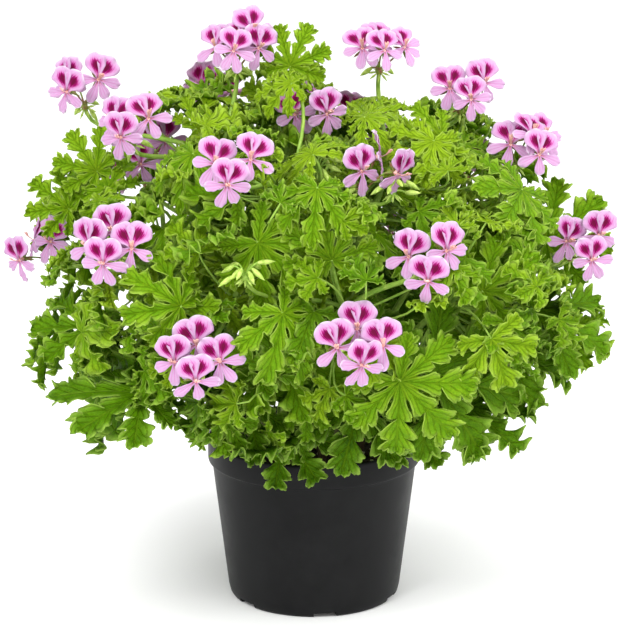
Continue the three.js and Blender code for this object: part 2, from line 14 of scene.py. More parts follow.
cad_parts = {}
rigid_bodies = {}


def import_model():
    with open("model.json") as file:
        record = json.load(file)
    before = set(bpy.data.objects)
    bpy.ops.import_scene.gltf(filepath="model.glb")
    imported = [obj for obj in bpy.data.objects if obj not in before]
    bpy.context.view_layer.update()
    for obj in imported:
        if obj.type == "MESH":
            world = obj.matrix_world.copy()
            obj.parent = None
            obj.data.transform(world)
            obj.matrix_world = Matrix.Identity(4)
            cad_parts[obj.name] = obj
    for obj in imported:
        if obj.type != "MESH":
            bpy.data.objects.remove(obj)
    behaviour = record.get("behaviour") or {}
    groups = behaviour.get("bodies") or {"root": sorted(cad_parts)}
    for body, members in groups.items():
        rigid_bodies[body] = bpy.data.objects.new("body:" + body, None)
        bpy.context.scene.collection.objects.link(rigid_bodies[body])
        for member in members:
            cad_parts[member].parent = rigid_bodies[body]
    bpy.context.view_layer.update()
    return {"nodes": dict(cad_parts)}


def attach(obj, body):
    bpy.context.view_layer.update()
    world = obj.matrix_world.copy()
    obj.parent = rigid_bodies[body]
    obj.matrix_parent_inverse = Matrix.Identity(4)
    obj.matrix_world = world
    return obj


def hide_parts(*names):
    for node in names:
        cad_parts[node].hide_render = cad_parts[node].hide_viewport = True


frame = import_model()
MM = 0.001


# ---------------------------------------------------------------- nursery pot
# A round tapered pot of thin charcoal polypropylene, injection moulded, with a stacking band
# under its rim, a rounded foot and six shallow drain notches. It stands free.

POT_HEIGHT = 100
RIM_RADIUS = 65
NECK_RADIUS = 62.6
FOOT_RADIUS = 51.5
LEDGE_Z = 86
WALL = 1.5
POT_STEPS = 120
SHARP_ANGLE = 50
NOTCH = {"count": 6, "first": 7.5, "width": 14, "height": 3, "inner": 42, "outer": 58}
CHARCOAL = (0.0060, 0.0061, 0.0064, 1)
CHARCOAL_WORN = (0.0105, 0.0107, 0.0111, 1)
# How rough the plastic is where it is whole and where it is worn, as greys.
SATIN = (0.36, 0.36, 0.36, 1)
SCUFFED = (0.5, 0.5, 0.5, 1)


def deselect():
    for thing in bpy.context.view_layer.objects:
        thing.select_set(False)


def choose(*things):
    """Selects these objects alone and makes the first the active one."""
    deselect()
    for thing in things:
        thing.select_set(True)
    bpy.context.view_layer.objects.active = things[0]


def apply_modifiers(thing):
    choose(thing)
    for modifier in list(thing.modifiers):
        bpy.ops.object.modifier_apply(modifier=modifier.name)


def edited(thing, *changes):
    """Makes these changes, each a mesh operator and its values, to all of an object's mesh."""
    choose(thing)
    bpy.ops.object.mode_set(mode="EDIT")
    for change, values in changes:
        bpy.ops.mesh.select_all(action="SELECT")
        getattr(bpy.ops.mesh, change)(**values)
    bpy.ops.object.mode_set(mode="OBJECT")


def new_object(name, corners, faces=(), edges=()):
    mesh = bpy.data.meshes.new(name)
    mesh.from_pydata([tuple(c) for c in corners], list(edges), list(faces))
    thing = bpy.data.objects.new(name, mesh)
    bpy.context.scene.collection.objects.link(thing)
    return thing


def spun(name, profile, steps):
    """Turns a profile of (radius, height) points, in millimetres, into a closed body."""
    corners = [(r * MM, 0, z * MM) for r, z in profile]
    links = [(i, i + 1) for i in range(len(corners) - 1)]
    thing = new_object(name, corners, edges=links)
    full_turn = {"steps": steps, "angle": 2 * math.pi, "center": (0, 0, 0), "axis": (0, 0, 1)}
    edited(
        thing, ("spin", full_turn), ("remove_doubles", {"threshold": 1e-6}),
        ("normals_make_consistent", {"inside": False}))
    return thing


def finish_named(name):
    """A new node material, its tree and its Principled shader."""
    material = bpy.data.materials.new(name)
    material.use_nodes = True
    tree = material.node_tree
    return material, tree, tree.nodes["Principled BSDF"]


def node(tree, kind, **values):
    made = tree.nodes.new(kind)
    for key, value in values.items():
        setattr(made, key, value)
    return made


def feed(slot, value):
    """Gives a shader's slot a value, or links another node's output to it."""
    if isinstance(value, (int, float, tuple)):
        slot.default_value = value
    else:
        slot.id_data.links.new(value, slot)


def coordinates(tree, kind="Object"):
    return node(tree, "ShaderNodeTexCoord").outputs[kind]


def noise_node(tree, scale, detail=4.0, roughness=0.55, vector=None):
    made = node(tree, "ShaderNodeTexNoise")
    feed(made.inputs["Scale"], scale)
    feed(made.inputs["Detail"], detail)
    feed(made.inputs["Roughness"], roughness)
    feed(made.inputs["Vector"], vector or coordinates(tree))
    return made.outputs[0]


def ramp_node(source, stops):
    made = node(source.id_data, "ShaderNodeValToRGB")
    elements = made.color_ramp.elements
    while len(elements) < len(stops):
        elements.new(0.5)
    for element, (place, colour) in zip(elements, stops):
        element.position = place
        element.color = colour
    feed(made.inputs["Fac"], source)
    return made.outputs["Color"]


def bump_node(shader, height, strength, distance):
    made = node(shader.id_data, "ShaderNodeBump")
    feed(made.inputs["Strength"], strength)
    feed(made.inputs["Distance"], distance)
    feed(made.inputs["Height"], height)
    feed(shader.inputs["Normal"], made.outputs["Normal"])


pot_plastic, tree, plastic = finish_named("charcoal_polypropylene")
scuffs = noise_node(tree, 38, detail=6, roughness=0.7)
feed(plastic.inputs["Base Color"], ramp_node(scuffs, [(0.35, CHARCOAL), (0.75, CHARCOAL_WORN)]))
feed(plastic.inputs["Roughness"], ramp_node(scuffs, [(0.3, SATIN), (0.7, SCUFFED)]))
feed(plastic.inputs["Specular IOR Level"], 0.1)
bump_node(plastic, noise_node(tree, 2600, detail=2), 0.12, 0.0001)

inner_rim = RIM_RADIUS - WALL
inner_neck = NECK_RADIUS - WALL
inner_foot = FOOT_RADIUS - WALL
POT_PROFILE = [
    (0, 1), (44, 1), (46, 0), (FOOT_RADIUS - 1.6, 0), (FOOT_RADIUS - 0.5, 0.5),
    (FOOT_RADIUS + 0.4, 1.9), (FOOT_RADIUS + 1.4, 6), (NECK_RADIUS - 0.3, LEDGE_Z - 3),
    (NECK_RADIUS + 0.1, LEDGE_Z - 1.6), (NECK_RADIUS + 0.6, LEDGE_Z - 0.9),
    (RIM_RADIUS - 1.1, LEDGE_Z - 0.7), (RIM_RADIUS - 0.3, LEDGE_Z - 0.1),
    (RIM_RADIUS, LEDGE_Z + 0.9), (RIM_RADIUS, POT_HEIGHT - 1.6),
    (RIM_RADIUS - 0.25, POT_HEIGHT - 0.5), (RIM_RADIUS - 0.75, POT_HEIGHT),
    (inner_rim + 0.2, POT_HEIGHT), (inner_rim, POT_HEIGHT - 0.4), (inner_rim, LEDGE_Z + 1),
    (inner_neck, LEDGE_Z - 2), (inner_foot + 1.7, WALL + 2), (inner_foot, WALL + 1), (0, WALL + 1),
]
pot = spun("nursery_pot", POT_PROFILE, POT_STEPS)
for k in range(NOTCH["count"]):
    azimuth = math.radians(NOTCH["first"] + 360 / NOTCH["count"] * k - 90)
    middle = (NOTCH["inner"] + NOTCH["outer"]) / 2
    reach = NOTCH["outer"] - NOTCH["inner"]
    deselect()
    bpy.ops.mesh.primitive_cube_add(
        size=1,
        location=(middle * MM * math.cos(azimuth), middle * MM * math.sin(azimuth), 0),
        rotation=(0, 0, azimuth),
        scale=(reach * MM, NOTCH["width"] * MM, 2 * NOTCH["height"] * MM),
    )
    cutter = bpy.context.object
    notch = pot.modifiers.new("notch", "BOOLEAN")
    notch.object = cutter
    notch.operation = "DIFFERENCE"
    apply_modifiers(pot)
    bpy.data.objects.remove(cutter)
pot.data.materials.append(pot_plastic)
choose(pot)
bpy.ops.object.shade_smooth_by_angle(angle=math.radians(SHARP_ANGLE))
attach(pot, "root")
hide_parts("pot")


# ---------------------------------------------------------------- peat
# Dark moist peat with crumbs of peat and bits of perlite on top. It fills the pot to 11 mm under
# the rim, and the stems stand in it.

SOIL_TOP = 89
PEAT_STEPS = 96
PEAT_RINGS = 22
PEAT_GAP = 0.35
PEAT_DARK = (0.010, 0.006, 0.004, 1)
PEAT_LIGHT = (0.060, 0.034, 0.018, 1)
PERLITE = (0.62, 0.58, 0.50, 1)
PERLITE_DUSTY = (0.42, 0.36, 0.28, 1)
# The lumps of the peat's top, as scales of noise and heights. Every ninth crumb is perlite.
LUMPS = [(90, 1.5), (420, 0.9)]
CRUMBS = {"count": 260, "from_side": 3, "smallest": 0.9, "more": 1.6, "perlite_every": 9}


def grainy_finish(name, scale, detail, stops, roughness, bump=None, coarse=0.55):
    """A matt material whose colours, and whose relief where it has any, follow one noise."""
    material, tree, shader = finish_named(name)
    grain = noise_node(tree, scale, detail, coarse)
    feed(shader.inputs["Base Color"], ramp_node(grain, stops))
    feed(shader.inputs["Roughness"], roughness)
    if bump:
        bump_node(shader, grain, *bump)
    return material


peat_finish = grainy_finish(
    "moist_peat", 320, 8, [(0.34, PEAT_DARK), (0.62, PEAT_LIGHT)], 0.96, (0.9, 0.0015), 0.7)
perlite_finish = grainy_finish(
    "perlite", 1500, 4, [(0.3, PERLITE_DUSTY), (0.6, PERLITE)], 0.9, (0.5, 0.0004))

peat_side = inner_rim - PEAT_GAP
PEAT_PROFILE = [
    (0, 3), (inner_foot - 2, 3), (inner_foot - 0.6, 5), (inner_neck - 0.6, LEDGE_Z - 4),
    (peat_side, LEDGE_Z + 1),
] + [(peat_side * (1 - i / PEAT_RINGS), SOIL_TOP - 0.5) for i in range(PEAT_RINGS + 1)]
peat = spun("peat", PEAT_PROFILE, PEAT_STEPS)
for corner in peat.data.vertices:
    if corner.co.z > (SOIL_TOP - 1) * MM:
        lumps = sum(noise.noise(corner.co * scale) * height for scale, height in LUMPS)
        corner.co.z += lumps * MM
peat.data.materials.append(peat_finish)
choose(peat)
bpy.ops.object.shade_smooth()


def seeded_random(seed):
    """The same even draws, from 0 to 1, as the part's own rule makes."""
    state = ((seed + 1) * 2654435761) & 0xFFFFFFFF

    def draw():
        nonlocal state
        state = (state * 1664525 + 1013904223) & 0xFFFFFFFF
        return state / 4294967296

    return draw


draw = seeded_random(4100)
crumbs = []
for k in range(CRUMBS["count"]):
    reach = (peat_side - CRUMBS["from_side"]) * math.sqrt(draw())
    turn = 2 * math.pi * draw()
    size = CRUMBS["smallest"] + CRUMBS["more"] * draw() ** 2
    deselect()
    bpy.ops.mesh.primitive_ico_sphere_add(subdivisions=1, radius=size * MM)
    crumb = bpy.context.object
    flat = 0.55 + 0.4 * draw()
    for corner in crumb.data.vertices:
        corner.co *= 0.75 + 0.5 * draw()
        corner.co.z *= flat
        corner.co += Vector((reach * math.cos(turn), reach * math.sin(turn), SOIL_TOP + 0.2)) * MM
    crumb.data.materials.append(peat_finish if k % CRUMBS["perlite_every"] else perlite_finish)
    crumbs.append(crumb)
choose(peat, *crumbs)
bpy.ops.object.join()
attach(peat, "root")
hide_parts("growing_medium")


# ---------------------------------------------------------------- stems
# Fifteen branching stems rise from the peat and lean out, woody and brown at their feet and
# green above. Leaf stalks and flower stalks leave them at their nodes. They grow as one body
# with their leaves, so each stem, its stalks and its leaves are one piece.

CANOPY_CENTRE = np.array((0.0, 0.0, 196.0))
CANOPY = {"x": 176, "y": 166, "up": 134, "down": 112}
STEM = {"foot": 2.6, "tip": 2.1, "root": 72, "steps": 7}
STEM_RINGS = [
    {"count": 1, "start": 100, "elevation": 84, "foot": 4, "reach": 0.66},
    {"count": 5, "start": 54, "elevation": 50, "foot": 15, "reach": 0.68},
    {"count": 9, "start": 10, "elevation": 6, "foot": 28, "reach": 0.62},
]
# A stalk leaves a stem this share along one of its straight runs, from this run on.
STALK_SITE = 0.45
FIRST_RUN = 3
UP = np.array((0.0, 0.0, 1.0))


def mix(a, b, t):
    return a + (b - a) * t


def unit(v):
    return v / np.linalg.norm(v)


def square_to(v, axis):
    """The part of v that is square to an axis, at length one."""
    return unit(v - np.dot(v, axis) * axis)


def direction(azimuth, elevation):
    """A direction from an azimuth (degrees from the front, to the right) and an elevation."""
    a, e = math.radians(azimuth), math.radians(elevation)
    return np.array((math.sin(a) * math.cos(e), -math.cos(a) * math.cos(e), math.sin(e)))


def canopy_radius(u):
    """How far the bush's rounded outline lies from its centre in a direction."""
    rise = CANOPY["up"] if u[2] > 0 else CANOPY["down"]
    return 1 / math.hypot(u[0] / CANOPY["x"], u[1] / CANOPY["y"], u[2] / rise)


def bezier(points, steps):
    """Points at even shares along a curve with three or four control points."""
    found = []
    for i in range(steps + 1):
        level = [np.array(p, float) for p in points]
        while len(level) > 1:
            level = [mix(a, b, i / steps) for a, b in zip(level, level[1:])]
        found.append(level[0])
    return found


def stem_curves():
    curves = []
    for ring, row in enumerate(STEM_RINGS):
        for k in range(row["count"]):
            draw = seeded_random(100 * ring + k)
            azimuth = row["start"] + 360 / row["count"] * k
            lean_azimuth = azimuth + 14 * (draw() - 0.5)
            lean = direction(lean_azimuth, row["elevation"] + 12 * (draw() - 0.5))
            tip = CANOPY_CENTRE + lean * canopy_radius(lean) * row["reach"]
            ground = direction(azimuth, 0) * row["foot"]
            ground[2] = SOIL_TOP + 3
            bend = ground * 1.25
            bend[2] = ground[2] + (tip[2] - ground[2]) * mix(0.75, 0.5, ring / 2)
            curves.append([ground, bend, tip])
    return curves


stem_shapes = stem_curves()
stem_names = [f"leafy_stem_{k + 1:02d}" for k in range(len(stem_shapes))]


def stem_run_path(curve):
    ground, bend, tip = curve
    root = ground.copy()
    root[2] = STEM["root"]
    return [root, *bezier([ground, bend, tip], STEM["steps"])]


def sites_near(target, first_run=FIRST_RUN):
    """Places where a stalk can leave a stem, nearest to the target first."""
    found = []
    for stem, curve in enumerate(stem_shapes):
        path = stem_run_path(curve)
        for i in range(first_run, len(path) - 1):
            at = mix(path[i], path[i + 1], STALK_SITE)
            found.append((float(np.linalg.norm(at - target)), stem, at))
    return sorted(found, key=lambda site: site[0])


# The frame's own corners say which place each leaf took, and on which stem it grew.
frame_points = [
    (corner.co / MM, stem)
    for stem, name in enumerate(stem_names) for corner in frame["nodes"][name].data.vertices
]
frame_corners = KDTree(len(frame_points))
for k, (point, _) in enumerate(frame_points):
    frame_corners.insert(point, k)
frame_corners.balance()
ON_CORNER = 0.05


def stem_at(point):
    """The stem whose solid has a corner at this point, or None."""
    _, index, distance = frame_corners.find(Vector(point))
    return frame_points[index][1] if distance < ON_CORNER else None


def corners_round(point, radius):
    """How many of the frame's corners stand round a point, as on a stalk's ring there."""
    near = frame_corners.find_range(Vector(point), radius + ON_CORNER)
    return sum(distance > radius - ON_CORNER for _, _, distance in near)


# Every stem, leaf stalk and flower stalk that grows on a stem, as (points, radii).
stalks = [[] for _ in stem_shapes]
STEM_FINE = {"steps": 16, "rooted": 6, "slim": 0.8, "foot": 1.05, "joint": 1.14}
for stem, curve in enumerate(stem_shapes):
    fine = bezier(curve, STEM_FINE["steps"])
    root = fine[0].copy()
    root[2] = STEM["root"] + STEM_FINE["rooted"]
    slim = STEM["tip"] * STEM_FINE["slim"]
    radii = [mix(STEM["foot"], slim, i / STEM_FINE["steps"]) for i in range(len(fine))]
    swollen = [r * (STEM_FINE["joint"] if i % 3 == 1 else 1) for i, r in enumerate(radii)]
    stalks[stem].append(([root, *fine], [STEM["foot"] * STEM_FINE["foot"], *swollen]))


# ---------------------------------------------------------------- flower heads: places
# Each head is an umbel on its own stalk. The stalk leaves a stem, and the flowers' short
# stalks fan out from a knob at its top.

# Each head's name, the middle of its flowers, how many they are, which way they face, how
# steeply the umbel rises, and how far its flowers' faces spread.
FLOWER_HEADS = [
    ("top_left", (-46, 2, 341), 4, 0, 60, 0.9),
    ("top_right", (41, 20, 338), 4, 10, 62, 1),
    ("crown_right", (92, 18, 311), 3, 15, 50, 0.6),
    ("shoulder_right", (129, 0, 281), 3, 30, 50, 0.8),
    ("far_right", (160, -32, 227), 3, 25, 35, 0.6),
    ("far_left_high", (-143, 22, 314), 3, -20, 55, 0.9),
    ("shoulder_left", (-109, -38, 300), 3, -10, 45, 0.7),
    ("behind_left", (-104, 50, 268), 3, -10, 30, 0.7),
    ("left_front", (-115, -115, 246), 4, -12, 30, 0.5),
    ("far_left", (-170, 6, 217), 3, -50, 35, 0.8),
    ("upper_front", (-47, -115, 290), 3, -5, 35, 0.5),
    ("low_left", (-65, -150, 189), 4, 0, 22, 0.45),
    ("low_centre", (25, -165, 202), 4, 5, 24, 0.5),
    ("right_front", (62, -142, 243), 3, 5, 28, 0.45),
    ("crown_centre", (0, -8, 304), 3, 40, 65, 1),
    ("upper_right", (38, -78, 284), 3, 60, 55, 0.8),
    ("behind_centre", (34, 72, 283), 3, 150, 40, 0.7),
    ("back_high", (-62, 82, 301), 3, 200, 50, 0.8),
    ("back_left", (-118, 112, 246), 3, 222, 35, 0.6),
    ("back_low", (-28, 158, 214), 3, 188, 28, 0.5),
    ("back_right", (108, 112, 250), 3, 140, 35, 0.6),
    ("back_low_right", (62, 150, 186), 3, 158, 25, 0.5),
]
# How far the flowers of some heads at the top look up.
LOOKING_UP = {
    "top_left": 0.25, "top_right": 0.55, "crown_right": 0.25, "shoulder_right": 0.3,
    "crown_centre": 0.3,
}
# A flower more, behind the others: its turn in degrees, its ray and how far that splays.
ADDED_FLOWERS = {"top_left": (40, 25, 0.55), "shoulder_right": (80, 22, 0.2)}
UMBEL = {"drop": 19, "rays": [24.5, 21, 16, 18.5], "splay": 0.82, "turn": 0.45, "twist": 26}
# The lowest flower is drawn in towards the others by this share, and overlaps them.
DRAWN_IN = 0.62
FACE_TILT = {"down": -0.2, "up": 0.42}
# How far a flower may turn on its stalk: to a side, up, how much less down, and round.
TILT = {"side": 0.7, "up": 0.55, "less": 0.3, "roll": 0.6}
KNOB = {"height": 4, "gap": 0.3}
PEDUNCLE = {"radius": 1.5, "steps": 4, "neck": 3, "shortest": 15}
# The drawn stalk of a head: its steps, and its radius at its foot and its neck.
PEDUNCLE_FINE = {"steps": 12, "foot": 1.7, "neck": 1.25}
PEDICEL_BEHIND = 9


def head_axes(at, facing_angle, rise):
    """Where a head looks, its umbel's axis, the two directions across that, and its base."""
    facing = direction(facing_angle, 0)
    axis = direction(facing_angle, rise)
    across = unit(np.cross(UP, facing))
    over = unit(np.cross(axis, across))
    base = np.array(at, float) - axis * UMBEL["drop"]
    return facing, axis, across, over, base


def flower_at(head, turn_degrees, ray_length, splay, spread):
    """One flower of an umbel: where its petals meet, and the axes that they open on."""
    facing, axis, across, over, base = head
    turn = math.radians(turn_degrees)
    offset = across * math.cos(turn) + over * math.sin(turn)
    ray = unit(axis + offset * splay)
    joint = base + ray * ray_length
    face = unit(facing + offset * UMBEL["turn"] * spread)
    face[2] = min(max(face[2], FACE_TILT["down"]), FACE_TILT["up"])
    face = unit(face)
    along = square_to(UP, face)
    return {"joint": joint, "face": face, "along": along, "side": np.cross(face, along)}


def tilted(flower, sideways, upwards, roll):
    """The same flower, turned a little on its stalk as real ones are."""
    face = unit(flower["face"] + flower["side"] * sideways + flower["along"] * upwards)
    rolled = flower["along"] * math.cos(roll) + flower["side"] * math.sin(roll)
    along = square_to(rolled, face)
    return {"joint": flower["joint"], "face": face, "along": along, "side": np.cross(face, along)}


heads = []
for k, (name, at, flowers, facing_angle, rise, spread) in enumerate(FLOWER_HEADS):
    head = head_axes(at, facing_angle, rise)
    draw = seeded_random(k)
    lowest = -90 + UMBEL["twist"] * (draw() - 0.5)
    splays = [UMBEL["splay"] * (DRAWN_IN if i == 0 else 1) for i in range(flowers)]
    placed = [
        flower_at(head, lowest + 360 * i / flowers, UMBEL["rays"][i], splays[i], spread)
        for i in range(flowers)
    ]
    if name in ADDED_FLOWERS:
        placed.append(flower_at(head, *ADDED_FLOWERS[name], spread))
    lift = LOOKING_UP.get(name, 0.0)
    placed = [
        tilted(
            flower, TILT["side"] * (draw() - 0.5), lift + TILT["up"] * (draw() - TILT["less"]),
            TILT["roll"] * (draw() - 0.5))
        for flower in placed
    ]
    _, axis, _, _, base = head
    foot = base - axis * (KNOB["height"] + KNOB["gap"])
    heads.append({
        "name": name, "axes": head, "flowers": placed, "base": base, "axis": axis, "foot": foot,
    })


def peduncle_curve(at, foot, axis):
    """A head's stalk: up from the stem, and into the knob along the umbel's axis."""
    distance = float(np.linalg.norm(at - foot))
    neck = foot - axis * PEDUNCLE["neck"]
    bend_low = at + UP * distance * 0.25 + axis * distance * 0.1
    return [at, bend_low, neck - axis * distance * 0.3, neck]


for head in heads:
    foot, axis = head["foot"], head["axis"]
    tries = [site for site in sites_near(foot) if site[0] > PEDUNCLE["shortest"]]
    middles = [bezier(peduncle_curve(at, foot, axis), PEDUNCLE["steps"])[2] for _, _, at in tries]
    fits = [corners_round(middle, PEDUNCLE["radius"]) for middle in middles]
    _, stem, at = tries[int(np.argmax(fits))]
    fine = [*bezier(peduncle_curve(at, foot, axis), PEDUNCLE_FINE["steps"]), foot]
    last = len(fine) - 1
    radii = [mix(PEDUNCLE_FINE["foot"], PEDUNCLE_FINE["neck"], i / last) for i in range(len(fine))]
    stalks[stem].append((fine, radii))


# ---------------------------------------------------------------- leaves: places
# Large leaves stand on long stalks all over the bush, in rough layers. The listed ones show most
# from the front.

LEAF_COUNT = 80
LEAF = {"smallest": 28, "largest": 49, "thick": 2.1, "droop": 0.22}
PETIOLE = {"middle": 1.15, "tries": 14}
LEAF_LAYERS = [0.94, 0.78, 0.6]
LEAF_ATTEMPTS = 60
GOLDEN_ANGLE = 137.508
# Each as where its stalk joins the blade, where its middle lobe ends, and the way it faces.
FRONT_LEAVES = [
    ((66, -108, 168), (122, -97, 154), (5, 25)),
    ((90, -84, 143), (118, -100, 118), (20, 30)),
    ((108, -60, 174), (152, -62, 156), (20, 55)),
    ((132, -50, 192), (175, -54, 172), (20, 50)),
    ((54, -82, 139), (72, -98, 112), (15, 15)),
    ((-18, -76, 124), (2, -90, 98), (5, 20)),
    ((-38, -86, 146), (-32, -106, 120), (-8, 20)),
    ((-64, -72, 138), (-70, -88, 112), (-20, 18)),
    ((-99, -95, 154), (-148, -100, 138), (-10, 40)),
    ((-21, -124, 174), (-26, -140, 206), (0, 30)),
    ((10, -124, 240), (4, -130, 272), (0, 25)),
    ((70, -10, 280), (58, -4, 314), (20, 20)),
    ((-130, -60, 184), (-166, -58, 186), (-25, 50)),
    ((-122, -12, 256), (-154, 0, 272), (-20, 40)),
    ((140, 2, 220), (171, 0, 247), (10, 35)),
    ((-14, 10, 305), (4, 22, 334), (0, 35)),
    ((-70, -6, 290), (-88, -2, 317), (-10, 35)),
    ((-84, -118, 212), (-108, -132, 236), (-15, 40)),
    ((96, -100, 216), (126, -98, 238), (20, 45)),
]


def leaf_place(joint, along, face, length, curl):
    side = np.cross(face, along)
    return {
        "joint": joint, "along": along, "face": face, "side": side, "length": length, "curl": curl,
    }


def leaf_between(joint, tip, face_angles, curl):
    """A leaf's place from its joint, its middle lobe's tip and the way that it faces."""
    joint = np.array(joint, float)
    run = np.array(tip, float) - joint
    length = float(np.linalg.norm(run))
    along = run / length
    return leaf_place(joint, along, square_to(direction(*face_angles), along), length, curl)


def spiral_leaf(k, attempt):
    """Leaf k of the golden-angle spiral over the bush, at one of its tries."""
    draw = seeded_random(977 * k + attempt)
    loose = 1 + attempt / 15

    def jitter(size):
        return size * (draw() - 0.5)

    def scatter():
        return np.array([jitter(1), jitter(1), jitter(1)])

    share = (k + 0.5) / LEAF_COUNT
    height = min(max(1 - 1.6 * share + jitter(0.07 * loose), -0.64), 0.995)
    elevation = math.degrees(math.asin(height))
    outwards = direction(k * GOLDEN_ANGLE + jitter(12 * loose), elevation)
    layer = LEAF_LAYERS[k % len(LEAF_LAYERS)] + jitter(0.08 * loose)
    length = mix(LEAF["smallest"], LEAF["largest"], min(1, share * 1.15)) * (1 + jitter(0.2))
    face = unit(outwards * 0.8 + UP * 0.4 + scatter() * 1.1)
    level = direction(k * GOLDEN_ANGLE, 0)
    along = square_to(level * 0.7 + UP * mix(0.7, -0.8, share) + scatter() * 1.3, face)
    middle = CANOPY_CENTRE + outwards * canopy_radius(outwards) * min(layer, 1)
    curl = LEAF["droop"] + jitter(0.16)
    return leaf_place(middle - along * 0.45 * length, along, face, length, curl)


def front_leaf(k, attempt):
    """Leaf k of the listed ones. Each further try looks further from its own place."""
    draw = seeded_random(31 * k + attempt)
    shift = np.array([draw() - 0.5, draw() - 0.5, draw() - 0.5]) * attempt * 0.5
    place = leaf_between(*FRONT_LEAVES[k], LEAF["droop"])
    return {**place, "joint": place["joint"] + shift}


def petiole_curve(place, at):
    """A leaf's stalk, from under its blade to its stem."""
    reach = float(np.linalg.norm(at - place["joint"])) * 0.45
    under = place["joint"] - place["along"] * 0.55 * reach - place["face"] * 0.6 * reach
    return [place["joint"], under, at]


def grown_leaf(place_of, k):
    """The place that leaf k took in the frame, with its stem and its stalk's foot."""
    for attempt in range(LEAF_ATTEMPTS):
        place = place_of(k, attempt)
        stem = stem_at(place["joint"] + place["face"] * LEAF["thick"] / 2)
        if stem is None:
            continue
        sites = [s for s in sites_near(place["joint"])[:PETIOLE["tries"]] if s[1] == stem]
        middles = [bezier(petiole_curve(place, at), 2)[1] for _, _, at in sites]
        fits = [corners_round(middle, PETIOLE["middle"]) for middle in middles]
        place["stem"] = stem
        place["foot"] = sites[int(np.argmax(fits))][2]
        return place
    return None


large_leaves = [grown_leaf(front_leaf, k) for k in range(len(FRONT_LEAVES))]
large_leaves += [grown_leaf(spiral_leaf, k) for k in range(LEAF_COUNT)]
large_leaves = [leaf for leaf in large_leaves if leaf is not None]


# ---------------------------------------------------------------- leaves: blades
# A leaf is one thin soft blade, cut into seven lobes round its stalk. Each lobe is cut again,
# with rounded teeth, a sunk middle vein and ruffled paler edges. Young leaves are smaller,
# more crimped and more yellow.

LOBES = [(-128, 0.58), (-86, 0.80), (-43, 0.94), (0, 1), (43, 0.94), (86, 0.80), (128, 0.58)]
YOUNG_LOBES = [(-106, 0.62), (-53, 0.86), (0, 1), (53, 0.86), (106, 0.62)]
HEEL = {"ray": 42, "depth": 0.13}
VEIN_SWEEP = 0.55
# How far a lobe may stand up out of the blade, and how far its cuts may shift along it.
LOBE_LIFT, CUT_SHIFT = 0.22, 0.07
GROWN_CUT = {
    "rows": 44, "contact": 6, "columns": 3, "width": 0.35, "teeth": 10.5, "tooth": 0.054,
    "forward": 0.85, "waves": 3.9, "thick": 0.011,
}
YOUNG_CUT = {
    "rows": 28, "contact": 4, "columns": 2, "sinus": 0.27, "width": 0.43, "lobules": 2.5,
    "cut": 0.215, "teeth": 7.5, "tooth": 0.066, "forward": 0.5, "waves": 2.6, "thick": 0.015,
}


def lobe_edge(reach, ray, depth, cut, shift):
    """One side of a lobe, from the leaf's middle to the tip: its cut edge and its plain one."""
    ray = math.radians(ray)
    start = depth * np.array((math.cos(ray), math.sin(ray)))
    contact, free_rows = cut["contact"], cut["rows"] - cut["contact"]
    plain = [start * i / contact for i in range(contact + 1)]
    for i in range(1, free_rows + 1):
        turn = math.pi / 2 * i / free_rows
        swell = math.sin(turn) ** 1.5
        x = start[0] + (reach - start[0]) * math.sin(turn) ** 0.95
        y = mix(start[1], cut["width"] * reach, swell) * max(math.cos(turn), 0) ** 0.6
        plain.append(np.array((x, y)))
    edge = list(plain)
    for i in range(1, free_rows):
        t = i / free_rows
        run = unit(plain[contact + i + 1] - plain[contact + i - 1])
        outwards = unit(np.array((-run[1] + cut["forward"] * (1 - t), run[0])))
        bent = t + shift * math.sin(2 * math.pi * t)
        lobule = abs(math.sin(math.pi * cut["lobules"] * bent)) ** 0.7 - 0.7
        tooth = abs(math.sin(math.pi * cut["teeth"] * t)) ** 0.7 - 0.5
        grow = min(1, 5 * t) * mix(1, 0.55, t)
        edge[contact + i] = plain[contact + i] + outwards * reach * grow * (
            cut["cut"] * lobule + cut["tooth"] * tooth)
        edge[contact + i][1] = max(edge[contact + i][1], 0.015)
    return np.array(edge), np.array(plain)


def thicken(sheet, near, thickness):
    """Merges a sheet's corners that lie this near each other, and gives it a thickness."""
    edited(sheet, ("remove_doubles", {"threshold": near}))
    wall = sheet.modifiers.new("thickness", "SOLIDIFY")
    wall.thickness = thickness
    wall.offset = 0
    apply_modifiers(sheet)


